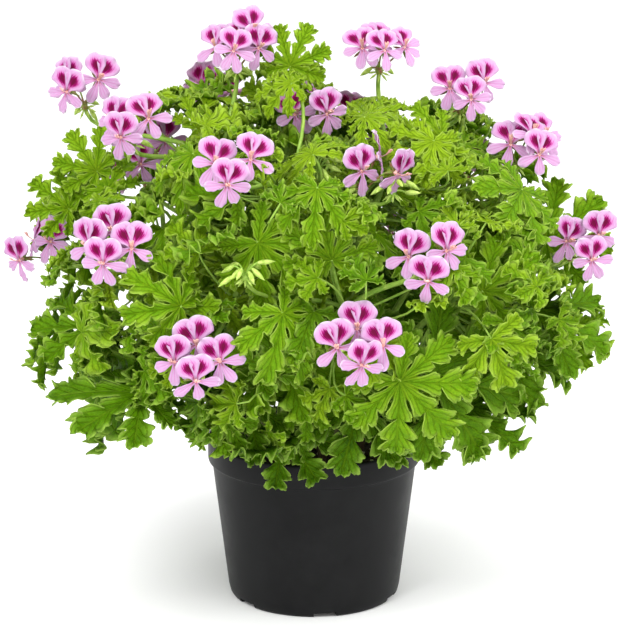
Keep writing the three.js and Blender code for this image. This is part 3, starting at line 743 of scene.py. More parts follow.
def leaf_blade(name, lobes, cut, ruffle, fold, seed):
    """A blade of unit length, joined to its stalk at the origin, with its face up."""
    draw = seeded_random(seed)
    pieces = []
    rows, contact, columns = cut["rows"], cut["contact"], cut["columns"]
    half_gap = (lobes[1][0] - lobes[0][0]) / 2
    for n, (angle, reach) in enumerate(lobes):
        lift = LOBE_LIFT * (draw() - 0.5)
        phase = 2 * math.pi * draw()
        sides = {}
        for sign in (-1, 1):
            other = n + sign
            outer = not 0 <= other < len(lobes)
            ray = HEEL["ray"] if outer else half_gap
            depth = HEEL["depth"] if outer else cut["sinus"] * min(reach, lobes[other][1])
            sides[sign] = (*lobe_edge(reach, ray, depth, cut, CUT_SHIFT * (draw() - 0.5)), outer)
        inner = sides[1 if n == 0 else -1][1]
        spine = np.maximum.accumulate(inner[:, 0] - VEIN_SWEEP * inner[:, 1])
        spine[-1] = reach
        deselect()
        bpy.ops.mesh.primitive_grid_add(x_subdivisions=2 * columns, y_subdivisions=rows, size=2)
        lobe = bpy.context.object
        rim = lobe.data.attributes.new("rim", "FLOAT", "POINT")
        turn = math.radians(angle)
        for k, corner in enumerate(lobe.data.vertices):
            i = round((corner.co.y + 1) / 2 * rows)
            share = abs(corner.co.x) ** 0.75
            sign = -1 if corner.co.x < 0 else 1
            edge, plain, outer = sides[sign]
            x, y = mix(plain[i], edge[i], share * share)
            x = mix(spine[i], x, share)
            y *= share
            free = max(0, (i - contact) / (rows - contact))
            wave = math.sin(2 * math.pi * cut["waves"] * free + phase + 1.7 * sign)
            curl = ruffle * (wave + 0.25) * min(1, 2.5 * free)
            height = fold * abs(y) + reach * (curl * share ** 2.5 + 0.6 * lift * free ** 2)
            y *= sign
            corner.co = (
                x * math.cos(turn) - y * math.sin(turn),
                x * math.sin(turn) + y * math.cos(turn),
                height,
            )
            rim.data[k].value = share ** 4 if i > contact or outer else 0
        pieces.append(lobe)
    choose(*pieces)
    bpy.ops.object.join()
    blade = bpy.context.object
    thicken(blade, 1e-5, cut["thick"])
    blade.name = name
    return blade


# Each row is how much a blade's edge ruffles and how deeply its lobes fold along their veins.
# A grown blade also has the depth of the cuts in its lobes, how many there are along each side
# of one, and where the lobes part.
GROWN_SHAPES = [
    (0.065, 0.38, 0.22, 3.5, 0.28), (0.095, 0.52, 0.25, 3.0, 0.24), (0.055, 0.28, 0.23, 3.5, 0.26),
    (0.100, 0.42, 0.25, 3.5, 0.22), (0.080, 0.46, 0.25, 3.0, 0.23),
]
YOUNG_SHAPES = [(0.12, 0.55), (0.15, 0.80), (0.10, 0.40), (0.17, 0.65), (0.14, 0.30)]
blades = [
    leaf_blade(
        f"blade_{n}", LOBES, {**GROWN_CUT, "cut": cut, "lobules": lobules, "sinus": sinus},
        ruffle, fold, 700 + n)
    for n, (ruffle, fold, cut, lobules, sinus) in enumerate(GROWN_SHAPES)
]
young_blades = [
    leaf_blade(f"young_blade_{n}", YOUNG_LOBES, YOUNG_CUT, ruffle, fold, 800 + n)
    for n, (ruffle, fold) in enumerate(YOUNG_SHAPES)
]

LEAF_DEEP = (0.024, 0.088, 0.0007, 1)
LEAF_FRESH = (0.127, 0.297, 0.0022, 1)
LEAF_YOUNG = (0.310, 0.490, 0.012, 1)
LEAF_VEIN = (0.260, 0.430, 0.015, 1)
LEAF_EDGE = (0.520, 0.700, 0.150, 1)
LEAF_GLOSS = (0.80, 0.92, 0.40, 1)
# How much each thing shows: the lighter margins, blotches and flecks, the veins, the pale rim,
# the puckers between the veins, and the light that comes through.
LEAF_LOOK = {
    "margin": 0.45, "mottle": 0.55, "flecks": 0.5, "veins": 0.3, "rim": 0.40, "puckers": 0.6,
    "glow": 0.32,
}


def math_node(operation, *inputs):
    tree = next(value.id_data for value in inputs if not isinstance(value, (int, float)))
    made = node(tree, "ShaderNodeMath", operation=operation)
    for slot, value in zip(made.inputs, inputs):
        feed(slot, value)
    return made.outputs[0]


def plus(a, b):
    return math_node("ADD", a, b)


def minus(a, b):
    return math_node("SUBTRACT", a, b)


def times(a, b):
    return math_node("MULTIPLY", a, b)


def mix_node(share, one, other):
    made = node(share.id_data, "ShaderNodeMix", data_type="RGBA", blend_type="MIX")
    feed(made.inputs[0], share)
    feed(made.inputs[6], one)
    feed(made.inputs[7], other)
    return made.outputs[2]


def split(vector):
    """The X, Y and Z of a shader's vector."""
    made = node(vector.id_data, "ShaderNodeSeparateXYZ")
    feed(made.inputs[0], vector)
    return made.outputs[0], made.outputs[1], made.outputs[2]


def lit_through(shader, colour, share):
    """Lets this share of a thin blade's light through, in the blade's own colour."""
    tree = shader.id_data
    glow = node(tree, "ShaderNodeBsdfTranslucent")
    feed(glow.inputs["Color"], colour)
    both = node(tree, "ShaderNodeMixShader")
    feed(both.inputs["Fac"], share)
    feed(both.inputs[1], shader.outputs[0])
    feed(both.inputs[2], glow.outputs[0])
    feed(tree.nodes["Material Output"].inputs["Surface"], both.outputs[0])


def leaf_finish(name):
    material, tree, leaf = finish_named(name)
    tone, rim = (
        node(tree, "ShaderNodeAttribute", attribute_name=kind).outputs["Fac"]
        for kind in ("tone", "rim")
    )
    across, along, _ = split(coordinates(tree, "UV"))
    off_middle = math_node("ABSOLUTE", minus(across, 0.5))
    mottle, flecks = noise_node(tree, 160, detail=5), noise_node(tree, 850, detail=3)
    lightness = plus(tone, times(off_middle, LEAF_LOOK["margin"]))
    lightness = plus(lightness, times(minus(mottle, 0.5), LEAF_LOOK["mottle"]))
    lightness = plus(lightness, times(minus(flecks, 0.5), LEAF_LOOK["flecks"]))
    body = ramp_node(lightness, [(0.1, LEAF_DEEP), (0.55, LEAF_FRESH), (1.0, LEAF_YOUNG)])
    side_veins = math_node("PINGPONG", minus(times(along, 6), times(off_middle, 4)), 0.5)
    vein = math_node("MAXIMUM", minus(1, times(off_middle, 22)), minus(1, times(side_veins, 7)))
    vein = math_node("MAXIMUM", vein, 0.0)
    veined = mix_node(times(vein, LEAF_LOOK["veins"]), body, LEAF_VEIN)
    edged = mix_node(times(math_node("POWER", rim, 1.6), LEAF_LOOK["rim"]), veined, LEAF_EDGE)
    feed(leaf.inputs["Base Color"], edged)
    feed(leaf.inputs["Roughness"], 0.5)
    feed(leaf.inputs["Specular IOR Level"], 0.2)
    feed(leaf.inputs["Specular Tint"], LEAF_GLOSS)
    puckers = times(noise_node(tree, 620, detail=3), LEAF_LOOK["puckers"])
    bump_node(leaf, minus(puckers, vein), 0.8, 0.0011)
    lit_through(leaf, edged, LEAF_LOOK["glow"])
    return material


leaf_green = leaf_finish("leaf_green")
for blade in blades + young_blades:
    blade.data.materials.append(leaf_green)
    choose(blade)
    bpy.ops.object.shade_smooth()


def reshaped(thing, change):
    """A copy of a thing, with its corners where `change` puts them."""
    copied = thing.copy()
    copied.data = thing.data.copy()
    bpy.context.scene.collection.objects.link(copied)
    corners = np.empty(len(copied.data.vertices) * 3)
    copied.data.vertices.foreach_get("co", corners)
    copied.data.vertices.foreach_set("co", change(corners.reshape(-1, 3)).ravel())
    return copied


def axes_of(place):
    return np.array((place["along"], place["side"], place["face"]))


def placed_blade(blade, place, tone):
    """A copy of a blade, curled and set on its stalk's end."""

    def curled(corners):
        u, v, w = corners.T
        w = w - place["curl"] * (u * u + v * v)
        spot = np.stack((u, v, w), 1) @ axes_of(place) * place["length"] + place["joint"]
        return spot * MM

    copied = reshaped(blade, curled)
    shade = copied.data.attributes.new("tone", "FLOAT", "POINT")
    shade.data.foreach_set("value", np.full(len(copied.data.vertices), tone, np.float32))
    return copied


BUD_CLUSTERS = [(-38, -125, 231), (2, -72, 280), (45, -75, 268)]
# A leaf keeps clear of each open flower and bud, and of the line along which one looks at it.
seen_flowers = [
    (flower["joint"] + flower["face"] * 9, direction(0 if flower["face"][1] < 0 else 180, 15))
    for head in heads for flower in head["flowers"]
] + [(np.array(place, float), direction(0, 15)) for place in BUD_CLUSTERS]
bloom_places = np.array([place for place, _ in seen_flowers])
outlooks = np.array([outlook for _, outlook in seen_flowers])
COVER = {
    "clear": 16, "behind": -4, "front": -60, "top": 266, "steps": 6, "curl": 0.08, "shrink": 0.965,
}
# Turns that a leaf before a flower tries, in degrees. The wide ones are its last resort.
SWINGS = [0, 7, -7, 14, -14]
WIDE_SWINGS = [0, 50, -75, 100, -100, 130, -130, 180]
# A leaf with a lobe that hangs under `left` or `right`, as its side is, and further out than
# `beside`, is turned up by `turn` degrees at most. One whose tip is under `below` curls less.
LOW_LEAF = {
    "below": 122, "curl": 0.3, "beside": 60, "left": 132, "right": 120, "turn": 48, "steepest": 0.3,
}
# Strips of the bush's top that stand lower: from and to along X, and how high a leaf may join
# its stalk there. The first keeps a leaf from standing before the flowers at the crown.
DIPS = [(-6, 4, 291), (12, 84, 297), (98, 136, 262)]
SETTLE = 14


def lobe_points(lobes):
    """Each lobe's tip, a point on either side of it and one on its vein, in the leaf's plane."""
    points = []
    for angle, reach in lobes:
        for aside, share in ((0, 1), (-15, 0.85), (15, 0.85), (0, 0.6)):
            turn = math.radians(angle + aside)
            points.append((reach * share * math.cos(turn), reach * share * math.sin(turn)))
    return np.array(points)


grown_points, young_points = lobe_points(LOBES), lobe_points(YOUNG_LOBES)


def lobes_of(place, points):
    """Where points in a leaf's plane come to lie on the leaf at its place."""
    u, v = points.T
    return place["joint"] + place["length"] * (
        np.stack((u, v, -place["curl"] * (u * u + v * v)), 1) @ axes_of(place))


def lifted(place):
    """The same leaf, turned up on its stalk's end where a lobe hangs low beside the pot."""
    lobes = lobes_of(place, grown_points)
    lowest = lobes[np.argmin(lobes[:, 2])]
    level = LOW_LEAF["left" if lowest[0] < 0 else "right"]
    if lowest[2] > level or abs(lowest[0]) < LOW_LEAF["beside"]:
        return place
    arm = lowest - place["joint"]
    reach = float(np.linalg.norm(arm))
    rise = (level - place["joint"][2]) / reach
    wanted = math.asin(max(-1, min(LOW_LEAF["steepest"], rise)))
    turn = min(wanted - math.asin(arm[2] / reach), math.radians(LOW_LEAF["turn"]))
    spin = np.array(Matrix.Rotation(turn, 3, Vector(np.cross(arm, UP))))
    return {**place, **{axis: spin @ place[axis] for axis in ("along", "side", "face")}}


def settled(place):
    """The same leaf on a shorter stalk, where the bush's top stands lower."""
    x, _, z = place["joint"]
    sunk = (min(SETTLE, z - top) for start, end, top in DIPS if start < x < end and z > top)
    sink = max(sunk, default=0)
    return {**place, "joint": place["joint"] - UP * sink}


def flowers_from(place, points):
    """How far a leaf's lobes are from each flower: in all, towards one who looks, and aside."""
    lobes = lobes_of(place, points)
    gaps = lobes[:, None] - bloom_places
    ahead = (gaps * outlooks).sum(2)
    aside = np.linalg.norm(gaps - ahead[..., None] * outlooks, axis=2)
    return np.linalg.norm(gaps, axis=2), ahead, aside


def covered(place):
    """How often a lobe of this leaf stands before an open flower at the bush's front or top."""
    _, ahead, aside = flowers_from(place, grown_points)
    shown = (bloom_places[:, 1] < COVER["front"]) | (bloom_places[:, 2] > COVER["top"])
    return int((shown & (ahead > COVER["behind"]) & (aside < COVER["clear"])).sum())


def swung(place, degrees):
    """The same leaf, turned on its stalk's end within its own plane."""
    turn = math.radians(degrees)
    along = place["along"] * math.cos(turn) + place["side"] * math.sin(turn)
    return {**place, "along": along, "side": np.cross(place["face"], along)}


def cleared(place):
    """The same leaf, swung aside, curled back and grown smaller until no flower is covered."""
    for _ in range(COVER["steps"]):
        for swing in SWINGS:
            tried = swung(place, swing)
            if not covered(tried):
                return tried
        place = {
            **place, "curl": place["curl"] + COVER["curl"],
            "length": place["length"] * COVER["shrink"],
        }
    return min((swung(place, swing) for swing in WIDE_SWINGS), key=covered)


# The large leaf low on the left takes a finely cut blade: the leaf's number and the blade's.
FINE_BLADES = {8: 2}
# A leaf is lighter the higher it stands. The tone runs from the pot's rim to the bush's top.
HEIGHTS = {"from": 100, "span": 230}
GROWN_TONE = {"least": 0.05, "height": 0.60, "chance": 0.34}
grown_blades = [[] for _ in stem_shapes]


def height_share(place):
    return (place["joint"][2] - HEIGHTS["from"]) / HEIGHTS["span"]


def grow_leaf(stem, blade, place, tone, at, steps, radii):
    """Adds a leaf and its stalk, which leaves the stem at a place, to the stem's piece."""
    grown_blades[stem].append(placed_blade(blade, place, tone))
    ends = [mix(*radii, i / steps) for i in range(steps + 1)]
    stalks[stem].append((bezier(petiole_curve(place, at), steps), ends))


for k, leaf in enumerate(large_leaves):
    draw = seeded_random(6000 + k)
    if (leaf["joint"] + leaf["along"] * leaf["length"])[2] < LOW_LEAF["below"]:
        leaf["curl"] *= LOW_LEAF["curl"]
    leaf = cleared(lifted(lifted(settled(leaf))))
    tone = GROWN_TONE["least"] + GROWN_TONE["height"] * height_share(leaf)
    tone += GROWN_TONE["chance"] * draw()
    blade = blades[FINE_BLADES.get(k, int(draw() * len(blades)))]
    grow_leaf(leaf["stem"], blade, leaf, tone, leaf["foot"], 8, (0.95, 1.2))


# ---------------------------------------------------------------- young leaves
# Side shoots fill the bush between the large leaves. Their leaves are small, crimped and
# bright, and stand on short stalks. They keep out of the way of the open flowers.

YOUNG_COUNT = 340
YOUNG = {"smallest": 15, "largest": 33, "clear": 14}
YOUNG_TONE = {"least": 0.14, "height": 0.34, "chance": 0.52}
# How far out young leaves may stand, as shares of the bush's size, and what is taken off low
# on the left. Past the pot's rim and its margin they hang no lower than the skirt, which rises
# to the right. They also leave the deepest dip of the top and the rim's front right bare.
BUSH_SIDE, BUSH_FRONT, LEFT_TUCK = 0.97, 1.08, 0.05
SKIRT = {"lowest": 104, "margin": 25, "level": 120, "rise": 0.9}
BARE_TOP = {"from": 12, "to": 84, "over": 292}
BARE_RIM = {"from": 8, "front": -30, "under": 124}
YOUNG_LAYERS = [0.9, 0.78, 0.64, 0.86, 0.52, 0.98, 0.94]
YOUNG_TRIES = 30


def hides_a_flower(place):
    """Whether a leaf stands close to an open flower or bud, or before it as one looks in."""
    distance, ahead, aside = flowers_from(place, young_points)
    near = distance < YOUNG["clear"]
    return bool((near | ((ahead > 0) & (aside < YOUNG["clear"]))).any())


def stands_out(place):
    """Whether a leaf would stand out of the bush's rounded top, its sides or its lower edge."""
    lobes = np.vstack((lobes_of(place, young_points), place["joint"]))
    x, y, z = lobes.T
    out = lobes - CANOPY_CENTRE
    rise = np.where(out[:, 2] > 0, CANOPY["up"], CANOPY["down"])
    radii = np.column_stack(np.broadcast_arrays(CANOPY["x"], CANOPY["y"], rise))
    share = np.linalg.norm(out / radii, axis=1)
    allowed = mix(BUSH_SIDE, BUSH_FRONT, (out[:, 1] / np.linalg.norm(out, axis=1)) ** 2)
    allowed = np.where((x < 0) & (out[:, 2] < 0), allowed - LEFT_TUCK, allowed)
    past_rim = np.hypot(x, y) - RIM_RADIUS - SKIRT["margin"]
    past_right = np.maximum(0, x - RIM_RADIUS - SKIRT["margin"])
    skirt = SKIRT["level"] + SKIRT["rise"] * past_right
    in_dip = (BARE_TOP["from"] < x) & (x < BARE_TOP["to"]) & (z > BARE_TOP["over"])
    over_rim = (x > BARE_RIM["from"]) & (y < BARE_RIM["front"]) & (z < BARE_RIM["under"])
    low = z < np.where(past_rim > 0, skirt, SKIRT["lowest"])
    return bool(((share > allowed) | in_dip | over_rim | low).any())


# Shoots that stand out of the bush, each as its leaf's joint, its tip and the way it faces.
SHOOTS = [
    ((-14, 4, 327), (-3, 6, 351), (0, 20)),
    ((150, -40, 178), (176, -44, 168), (25, 35)),
    ((-129, -8, 266), (-144, -8, 289), (-30, 50)),
    ((-146, -12, 244), (-165, -16, 262), (-35, 50)),
]
# Their leaves are grown ones, bright and little curled.
SHOOT = {"tone": 0.62, "chance": 0.1, "curl": 0.25}


def young_leaf(k):
    """The first free place that young leaf k finds, or None."""
    for attempt in range(YOUNG_TRIES):
        draw = seeded_random(9000 + 40 * k + attempt)
        share = (k + 0.5) / YOUNG_COUNT
        height = min(max(1 - 1.72 * share + 0.12 * (draw() - 0.5), -0.8), 0.995)
        azimuth = k * GOLDEN_ANGLE + 20 * (draw() - 0.5)
        outwards = direction(azimuth, math.degrees(math.asin(height)))
        layer = YOUNG_LAYERS[k % len(YOUNG_LAYERS)] + 0.1 * (draw() - 0.5)
        length = mix(YOUNG["smallest"], YOUNG["largest"], draw())
        scatter = np.array((draw(), draw(), draw())) - 0.5
        face = unit(outwards * 0.7 + UP * 0.55 + scatter * 1.2)
        scatter = np.array((draw(), draw(), draw())) - 0.5
        along = square_to(outwards * 0.5 + UP * mix(0.7, -0.5, share) + scatter * 1.6, face)
        middle = CANOPY_CENTRE + outwards * canopy_radius(outwards) * layer
        curl = 0.1 + 0.35 * (draw() - 0.3)
        place = leaf_place(middle - along * 0.5 * length, along, face, length, curl)
        if not stands_out(place) and not hides_a_flower(place):
            return place
    return None


young_leaves = [leaf_between(*shoot, SHOOT["curl"]) for shoot in SHOOTS]
young_leaves += [young_leaf(k) for k in range(YOUNG_COUNT)]
for k, place in enumerate(young_leaves):
    if place is None:
        continue
    draw = seeded_random(7000 + k)
    _, stem, at = sites_near(place["joint"], 1)[0]
    tone = YOUNG_TONE["least"] + YOUNG_TONE["height"] * height_share(place)
    tone += YOUNG_TONE["chance"] * draw()
    blade = young_blades[int(draw() * len(young_blades))]
    if k < len(SHOOTS):
        blade, tone = blades[k], SHOOT["tone"] + SHOOT["chance"] * draw()
    grow_leaf(stem, blade, place, tone, at, 6, (0.55, 0.8))


# ---------------------------------------------------------------- leafy stems: growing together
# The stalks, the fine hairs on them and the blades are joined into one piece for each stem.

STALK_GREEN = (0.200, 0.380, 0.030, 1)
STALK_PALE = (0.330, 0.500, 0.070, 1)
STALK_WOOD = (0.085, 0.050, 0.022, 1)
WOODY = {"below": 0.095, "none_above": 0.145}
HAIR = {"length": 1.3, "radius": 0.05, "step": 2.6}

stalk_green, tree, stalk_shader = finish_named("stalk_green")
streaks = noise_node(tree, 240, detail=5)
fresh = ramp_node(streaks, [(0.35, STALK_GREEN), (0.65, STALK_PALE)])
woody = node(tree, "ShaderNodeMapRange")
feed(woody.inputs["From Min"], WOODY["none_above"])
feed(woody.inputs["From Max"], WOODY["below"])
feed(woody.inputs["Value"], split(coordinates(tree))[2])
feed(stalk_shader.inputs["Base Color"], mix_node(woody.outputs[0], fresh, STALK_WOOD))
feed(stalk_shader.inputs["Roughness"], 0.6)
bump_node(stalk_shader, streaks, 0.4, 0.0005)


def rods(name, paths, resolution=1):
    """Round rods along paths of (points, radii), in millimetres, as one mesh."""
    data = bpy.data.curves.new(name, "CURVE")
    data.dimensions = "3D"
    data.bevel_depth = MM
    data.bevel_resolution = resolution
    data.use_fill_caps = True
    for points, radii in paths:
        run = data.splines.new("POLY")
        run.points.add(len(points) - 1)
        for point, place, radius in zip(run.points, points, radii):
            point.co = (*(place * MM), 1)
            point.radius = radius
    thing = bpy.data.objects.new(name, data)
    bpy.context.scene.collection.objects.link(thing)
    choose(thing)
    bpy.ops.object.convert(target="MESH")
    bpy.ops.object.shade_smooth()
    return bpy.context.object


def hairs(name, paths, seed):
    """Fine short hairs that stand out from stalks, each a three-sided spike."""
    draw = seeded_random(seed)
    corners, faces = [], []
    for points, radii in paths:
        for a, b, radius in zip(points, points[1:], radii):
            run = unit(b - a)
            for _ in range(int(np.linalg.norm(b - a) / HAIR["step"])):
                spot = mix(a, b, draw())
                loose = np.array((draw(), draw(), draw())) - 0.5
                out = square_to(loose + 1e-6, run)
                side = np.cross(run, out)
                root = spot + out * radius * 0.9
                tip = root + out * HAIR["length"] * (0.6 + 0.6 * draw())
                first = len(corners)
                corners += [
                    root + (run * c + side * s) * HAIR["radius"]
                    for c, s in ((1, 0), (-0.5, 0.87), (-0.5, -0.87))
                ] + [tip]
                faces += [
                    (first, first + 1, first + 3), (first + 1, first + 2, first + 3),
                    (first + 2, first, first + 3), (first, first + 2, first + 1),
                ]
    return new_object(name, [c * MM for c in corners], faces)


for stem, name in enumerate(stem_names):
    stalk_body = rods(f"stalks_{stem + 1:02d}", stalks[stem])
    stalk_body.data.materials.append(stalk_green)
    fuzz = hairs("fuzz", stalks[stem], 300 + stem)
    fuzz.data.materials.append(stalk_green)
    choose(stalk_body, fuzz, *grown_blades[stem])
    bpy.ops.object.join()
    stalk_body.name = f"grown_stem_{stem + 1:02d}"
    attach(stalk_body, "root")
    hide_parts(name)
for blade in blades + young_blades:
    bpy.data.objects.remove(blade)


# ---------------------------------------------------------------- flowers
# Each flower has two broad upper petals that overlap, with a feathered dark blotch, and three or
# four narrow plain lower ones. Behind them are five pointed sepals, and stamens curve up out of
# the throat.

UPPER = {"turn": 25, "length": 16.8, "half": 7.4, "widest": 0.60, "claw": 1.1}
LOWER = {"length": 14.4, "half": 3.5, "widest": 0.70, "claw": 0.8}
# How each kind of flower holds its lower petals, in degrees from straight up.
LOWER_TURNS = [(-98, -158, 160, 94), (-116, 176, 112), (-88, -146, 166, 104), (-106, -170, 122)]
PETAL_WALL = 0.25
# The second upper petal stands this far before the first at its end, so that they overlap.
UPPER_OVER = 0.5
# A petal's rim: how deep its crimps are, as a share of its half width, and how many.
PETAL_CRIMP = 0.028
CRIMPS = 5.5
SEPALS = {"count": 5, "first": 36, "back": -0.55, "behind": -2.2}
STAMENS = {"count": 6, "apart": 0.5}
PETAL_PALE = (0.660, 0.410, 0.640, 1)
PETAL_LIGHT = (0.780, 0.680, 0.790, 1)
PETAL_MAGENTA = (0.600, 0.090, 0.440, 1)
PETAL_CRIMSON = (0.420, 0.004, 0.190, 1)
PETAL_BURGUNDY = (0.150, 0.0005, 0.040, 1)
THROAT = (0.640, 0.200, 0.160, 1)
# The blotch on an upper petal: its middle and half length along the petal, and its half width.
BLOTCH = {"middle": 0.31, "half_length": 0.19, "half_width": 0.45}
FEATHER_STRETCH = (3.4, 0.32, 1)
WHITE, HALO, BLACK = (1, 1, 1, 1), (0.85, 0.85, 0.85, 1), (0, 0, 0, 1)


def petal_finish(name, blotched):
    material, tree, petal = finish_named(name)
    uv = coordinates(tree, "UV")
    side, along, _ = split(uv)
    across = times(math_node("ABSOLUTE", minus(side, 0.5)), 2)
    stretch = node(tree, "ShaderNodeMapping")
    feed(stretch.inputs["Scale"], FEATHER_STRETCH)
    feed(stretch.inputs["Vector"], uv)
    ragged = times(minus(noise_node(tree, 9, detail=3, vector=stretch.outputs[0]), 0.5), 2.0)
    edgeward = plus(plus(along, times(ragged, 0.2)), times(times(across, across), 0.25))
    body = ramp_node(
        edgeward, [(0.0, THROAT), (0.16, PETAL_PALE), (0.7, PETAL_PALE), (1.0, PETAL_LIGHT)])
    if blotched:
        sideways = math_node("DIVIDE", across, BLOTCH["half_width"])
        lengthways = math_node("DIVIDE", minus(along, BLOTCH["middle"]), BLOTCH["half_length"])
        reach = math_node("SQRT", plus(
            math_node("POWER", sideways, 2), math_node("POWER", lengthways, 2)))
        spread = times(plus(reach, ragged), 0.5)
        halo = ramp_node(spread, [(0.46, HALO), (0.92, BLACK)])
        heart = ramp_node(spread, [(0.44, WHITE), (0.56, BLACK)])
        deep = ramp_node(spread, [(0.22, PETAL_BURGUNDY), (0.46, PETAL_CRIMSON)])
        body = mix_node(heart, mix_node(halo, body, PETAL_MAGENTA), deep)
    else:
        lines = math_node("PINGPONG", times(across, 1.8), 0.5)
        thin = math_node("MAXIMUM", 0.0, minus(1, times(lines, 3.5)))
        fade = math_node("MAXIMUM", 0.0, minus(0.75, plus(along, ragged)))
        body = mix_node(times(thin, fade), body, PETAL_MAGENTA)
    feed(petal.inputs["Base Color"], body)
    feed(petal.inputs["Roughness"], 0.62)
    feed(petal.inputs["Specular IOR Level"], 0.12)
    bump_node(petal, noise_node(tree, 700, detail=2), 0.25, 0.0003)
    lit_through(petal, body, 0.3)
    return material


upper_petal_pink = petal_finish("upper_petal_pink", True)
lower_petal_pink = petal_finish("lower_petal_pink", False)

SEPAL_GREEN = (0.180, 0.250, 0.040, 1)
SEPAL_RUST = (0.260, 0.110, 0.050, 1)
BUD_GREEN = (0.300, 0.460, 0.045, 1)
BUD_PALE = (0.580, 0.740, 0.180, 1)
STAMEN_SALMON, STAMEN_PALE = (0.72, 0.30, 0.24, 1), (0.86, 0.58, 0.52, 1)
sepal_finish = grainy_finish(
    "sepal_green", 300, 3, [(0.40, SEPAL_GREEN), (0.66, SEPAL_RUST)], 0.6, (0.4, 0.0004))
bud_finish = grainy_finish(
    "bud_green", 420, 4, [(0.35, BUD_GREEN), (0.7, BUD_PALE)], 0.6, (0.5, 0.0004))
stamen_finish = grainy_finish(
    "stamen_salmon", 900, 2, [(0.3, STAMEN_SALMON), (0.7, STAMEN_PALE)], 0.55)


def half_width(shape, v):
    """Half a petal's width at a share of its length: it widens smoothly, then ends round."""
    if v < shape["widest"]:
        t = v / shape["widest"]
        return mix(shape["claw"], shape["half"], t * t * (3 - 2 * t))
    t = (v - shape["widest"]) / (1 - shape["widest"])
    return shape["half"] * math.sqrt(max(0, 1 - t * t))


def petal(shape, angle, rows, columns, twist, ruffle, phase, finish, over=0.0):
    """A petal, in millimetres, that opens from the origin: u up, v to the side, w forward."""
    deselect()
    bpy.ops.mesh.primitive_grid_add(x_subdivisions=2 * columns, y_subdivisions=rows, size=2)
    made = bpy.context.object
    turn = math.radians(angle)
    start = 0.9
    round_from = start + (shape["length"] - start) * shape["widest"]
    for corner in made.data.vertices:
        share = corner.co.x
        v = 1 - (1 - (corner.co.y + 1) / 2) ** 2
        r = start + (shape["length"] - start) * v
        c = half_width(shape, v) * share
        p, q = (r - round_from) / (shape["length"] - round_from), c / shape["half"]
        edge = math.hypot(max(p, 0), q) ** 3
        crimp = edge * math.sin(CRIMPS * math.atan2(q, p) + phase)
        r += PETAL_CRIMP * crimp * max(p, 0) * shape["half"]
        c *= 1 + PETAL_CRIMP * crimp
        w = 0.2 * r - 0.016 * r * r
        w += 1.1 * share * share * (1 - v) + twist * share * v
        w += ruffle * (0.5 * v * v * math.sin(5 * share + phase) + crimp) + over * v
        corner.co = (
            r * math.cos(turn) - c * math.sin(turn), r * math.sin(turn) + c * math.cos(turn), w)
    thicken(made, 1e-4, PETAL_WALL)
    made.data.materials.append(finish)
    return made


def spindle(name, length, half, sides, rows, finish):
    """A pointed bud or sepal of that length along +Z, in millimetres, from the origin."""
    tip = half * 0.3
    deselect()
    bpy.ops.mesh.primitive_cone_add(vertices=sides, radius1=half, radius2=tip, depth=length)
    made = bpy.context.object
    edited(made, ("subdivide", {"number_cuts": rows}))
    for corner in made.data.vertices:
        t = min(max(corner.co.z / length + 0.5, 0), 1)
        wide = half * math.sin(math.pi * min(1, 0.12 + 0.88 * t)) ** 0.8 * (1 - 0.25 * t)
        corner.co.x *= wide / mix(half, tip, t)
        corner.co.y *= wide / mix(half, tip, t)
        corner.co.z = length * t
    made.data.materials.append(finish)
    made.name = name
    return made


def turned(thing, along, face, place):
    """A copy of a thing, its +Z on `along`, +X on `face`, its origin at `place`."""
    face = square_to(face, along)
    axes = np.array((face, np.cross(along, face), along))
    return reshaped(thing, lambda corners: corners @ axes + place)


def scaled(thing, scale):
    """Brings a piece from metres to millimetres, or back."""
    thing.data.transform(Matrix.Scale(scale, 4))
    return thing


sepal = spindle("sepal", 8, 1.1, 6, 2, sepal_finish)
bud = spindle("bud", 10, 1.7, 8, 3, bud_finish)


def flower_model(name, seed, lower_turns):
    """A whole open flower in its own axes and millimetres: u up, v to the side, w forward."""
    draw = seeded_random(seed)
    parts = []
    for sign in (-1, 1):
        turn = sign * UPPER["turn"] + 10 * (draw() - 0.5)
        shape = {**UPPER, "half": UPPER["half"] * (0.9 + 0.2 * draw())}
        parts.append(petal(
            shape, turn, 12, 4, 1.2 * (draw() - 0.3), 0.8, 6 * draw(), upper_petal_pink,
            UPPER_OVER if sign > 0 else 0.0))
    for turn in lower_turns:
        shape = {**LOWER, "length": LOWER["length"] * (0.88 + 0.2 * draw())}
        parts.append(petal(
            shape, turn + 8 * (draw() - 0.5), 9, 3, 0.7 * (draw() - 0.5), 0.6, 6 * draw(),
            lower_petal_pink))
    for k in range(SEPALS["count"]):
        turn = math.radians(SEPALS["first"] + 360 / SEPALS["count"] * k)
        out = np.array((math.cos(turn), math.sin(turn), SEPALS["back"]))
        parts.append(turned(sepal, unit(out), UP, UP * SEPALS["behind"]))
    filaments = []
    for k in range(STAMENS["count"]):
        aside = (k - (STAMENS["count"] - 1) / 2) * STAMENS["apart"]
        points = bezier([
            (0, 0, -1), (0.1, aside * 0.6, 5), (2.6 + 1.6 * draw(), aside, 6.5 + 2 * draw()),
        ], 5)
        filaments.append((points, [0.24, 0.22, 0.2, 0.2, 0.36, 0.42]))
    throat = ([np.array((0, 0, z)) for z in (-3.4, -2.0, -0.6, 0.5)], [0.9, 1.7, 1.9, 1.2])
    stamens = rods("stamens", filaments + [throat], resolution=0)
    stamens.data.materials.append(stamen_finish)
    choose(*parts, scaled(stamens, 1 / MM))
    bpy.ops.object.join()
    made = bpy.context.object
    made.name = name
    bpy.ops.object.shade_smooth()
    return made


flower_models = [
    flower_model(f"flower_model_{n}", 1200 + n, turns) for n, turns in enumerate(LOWER_TURNS)
]


def placed_flower(model, flower, size):
    return reshaped(
        model, lambda corners: (corners * size @ axes_of(flower) + flower["joint"]) * MM)


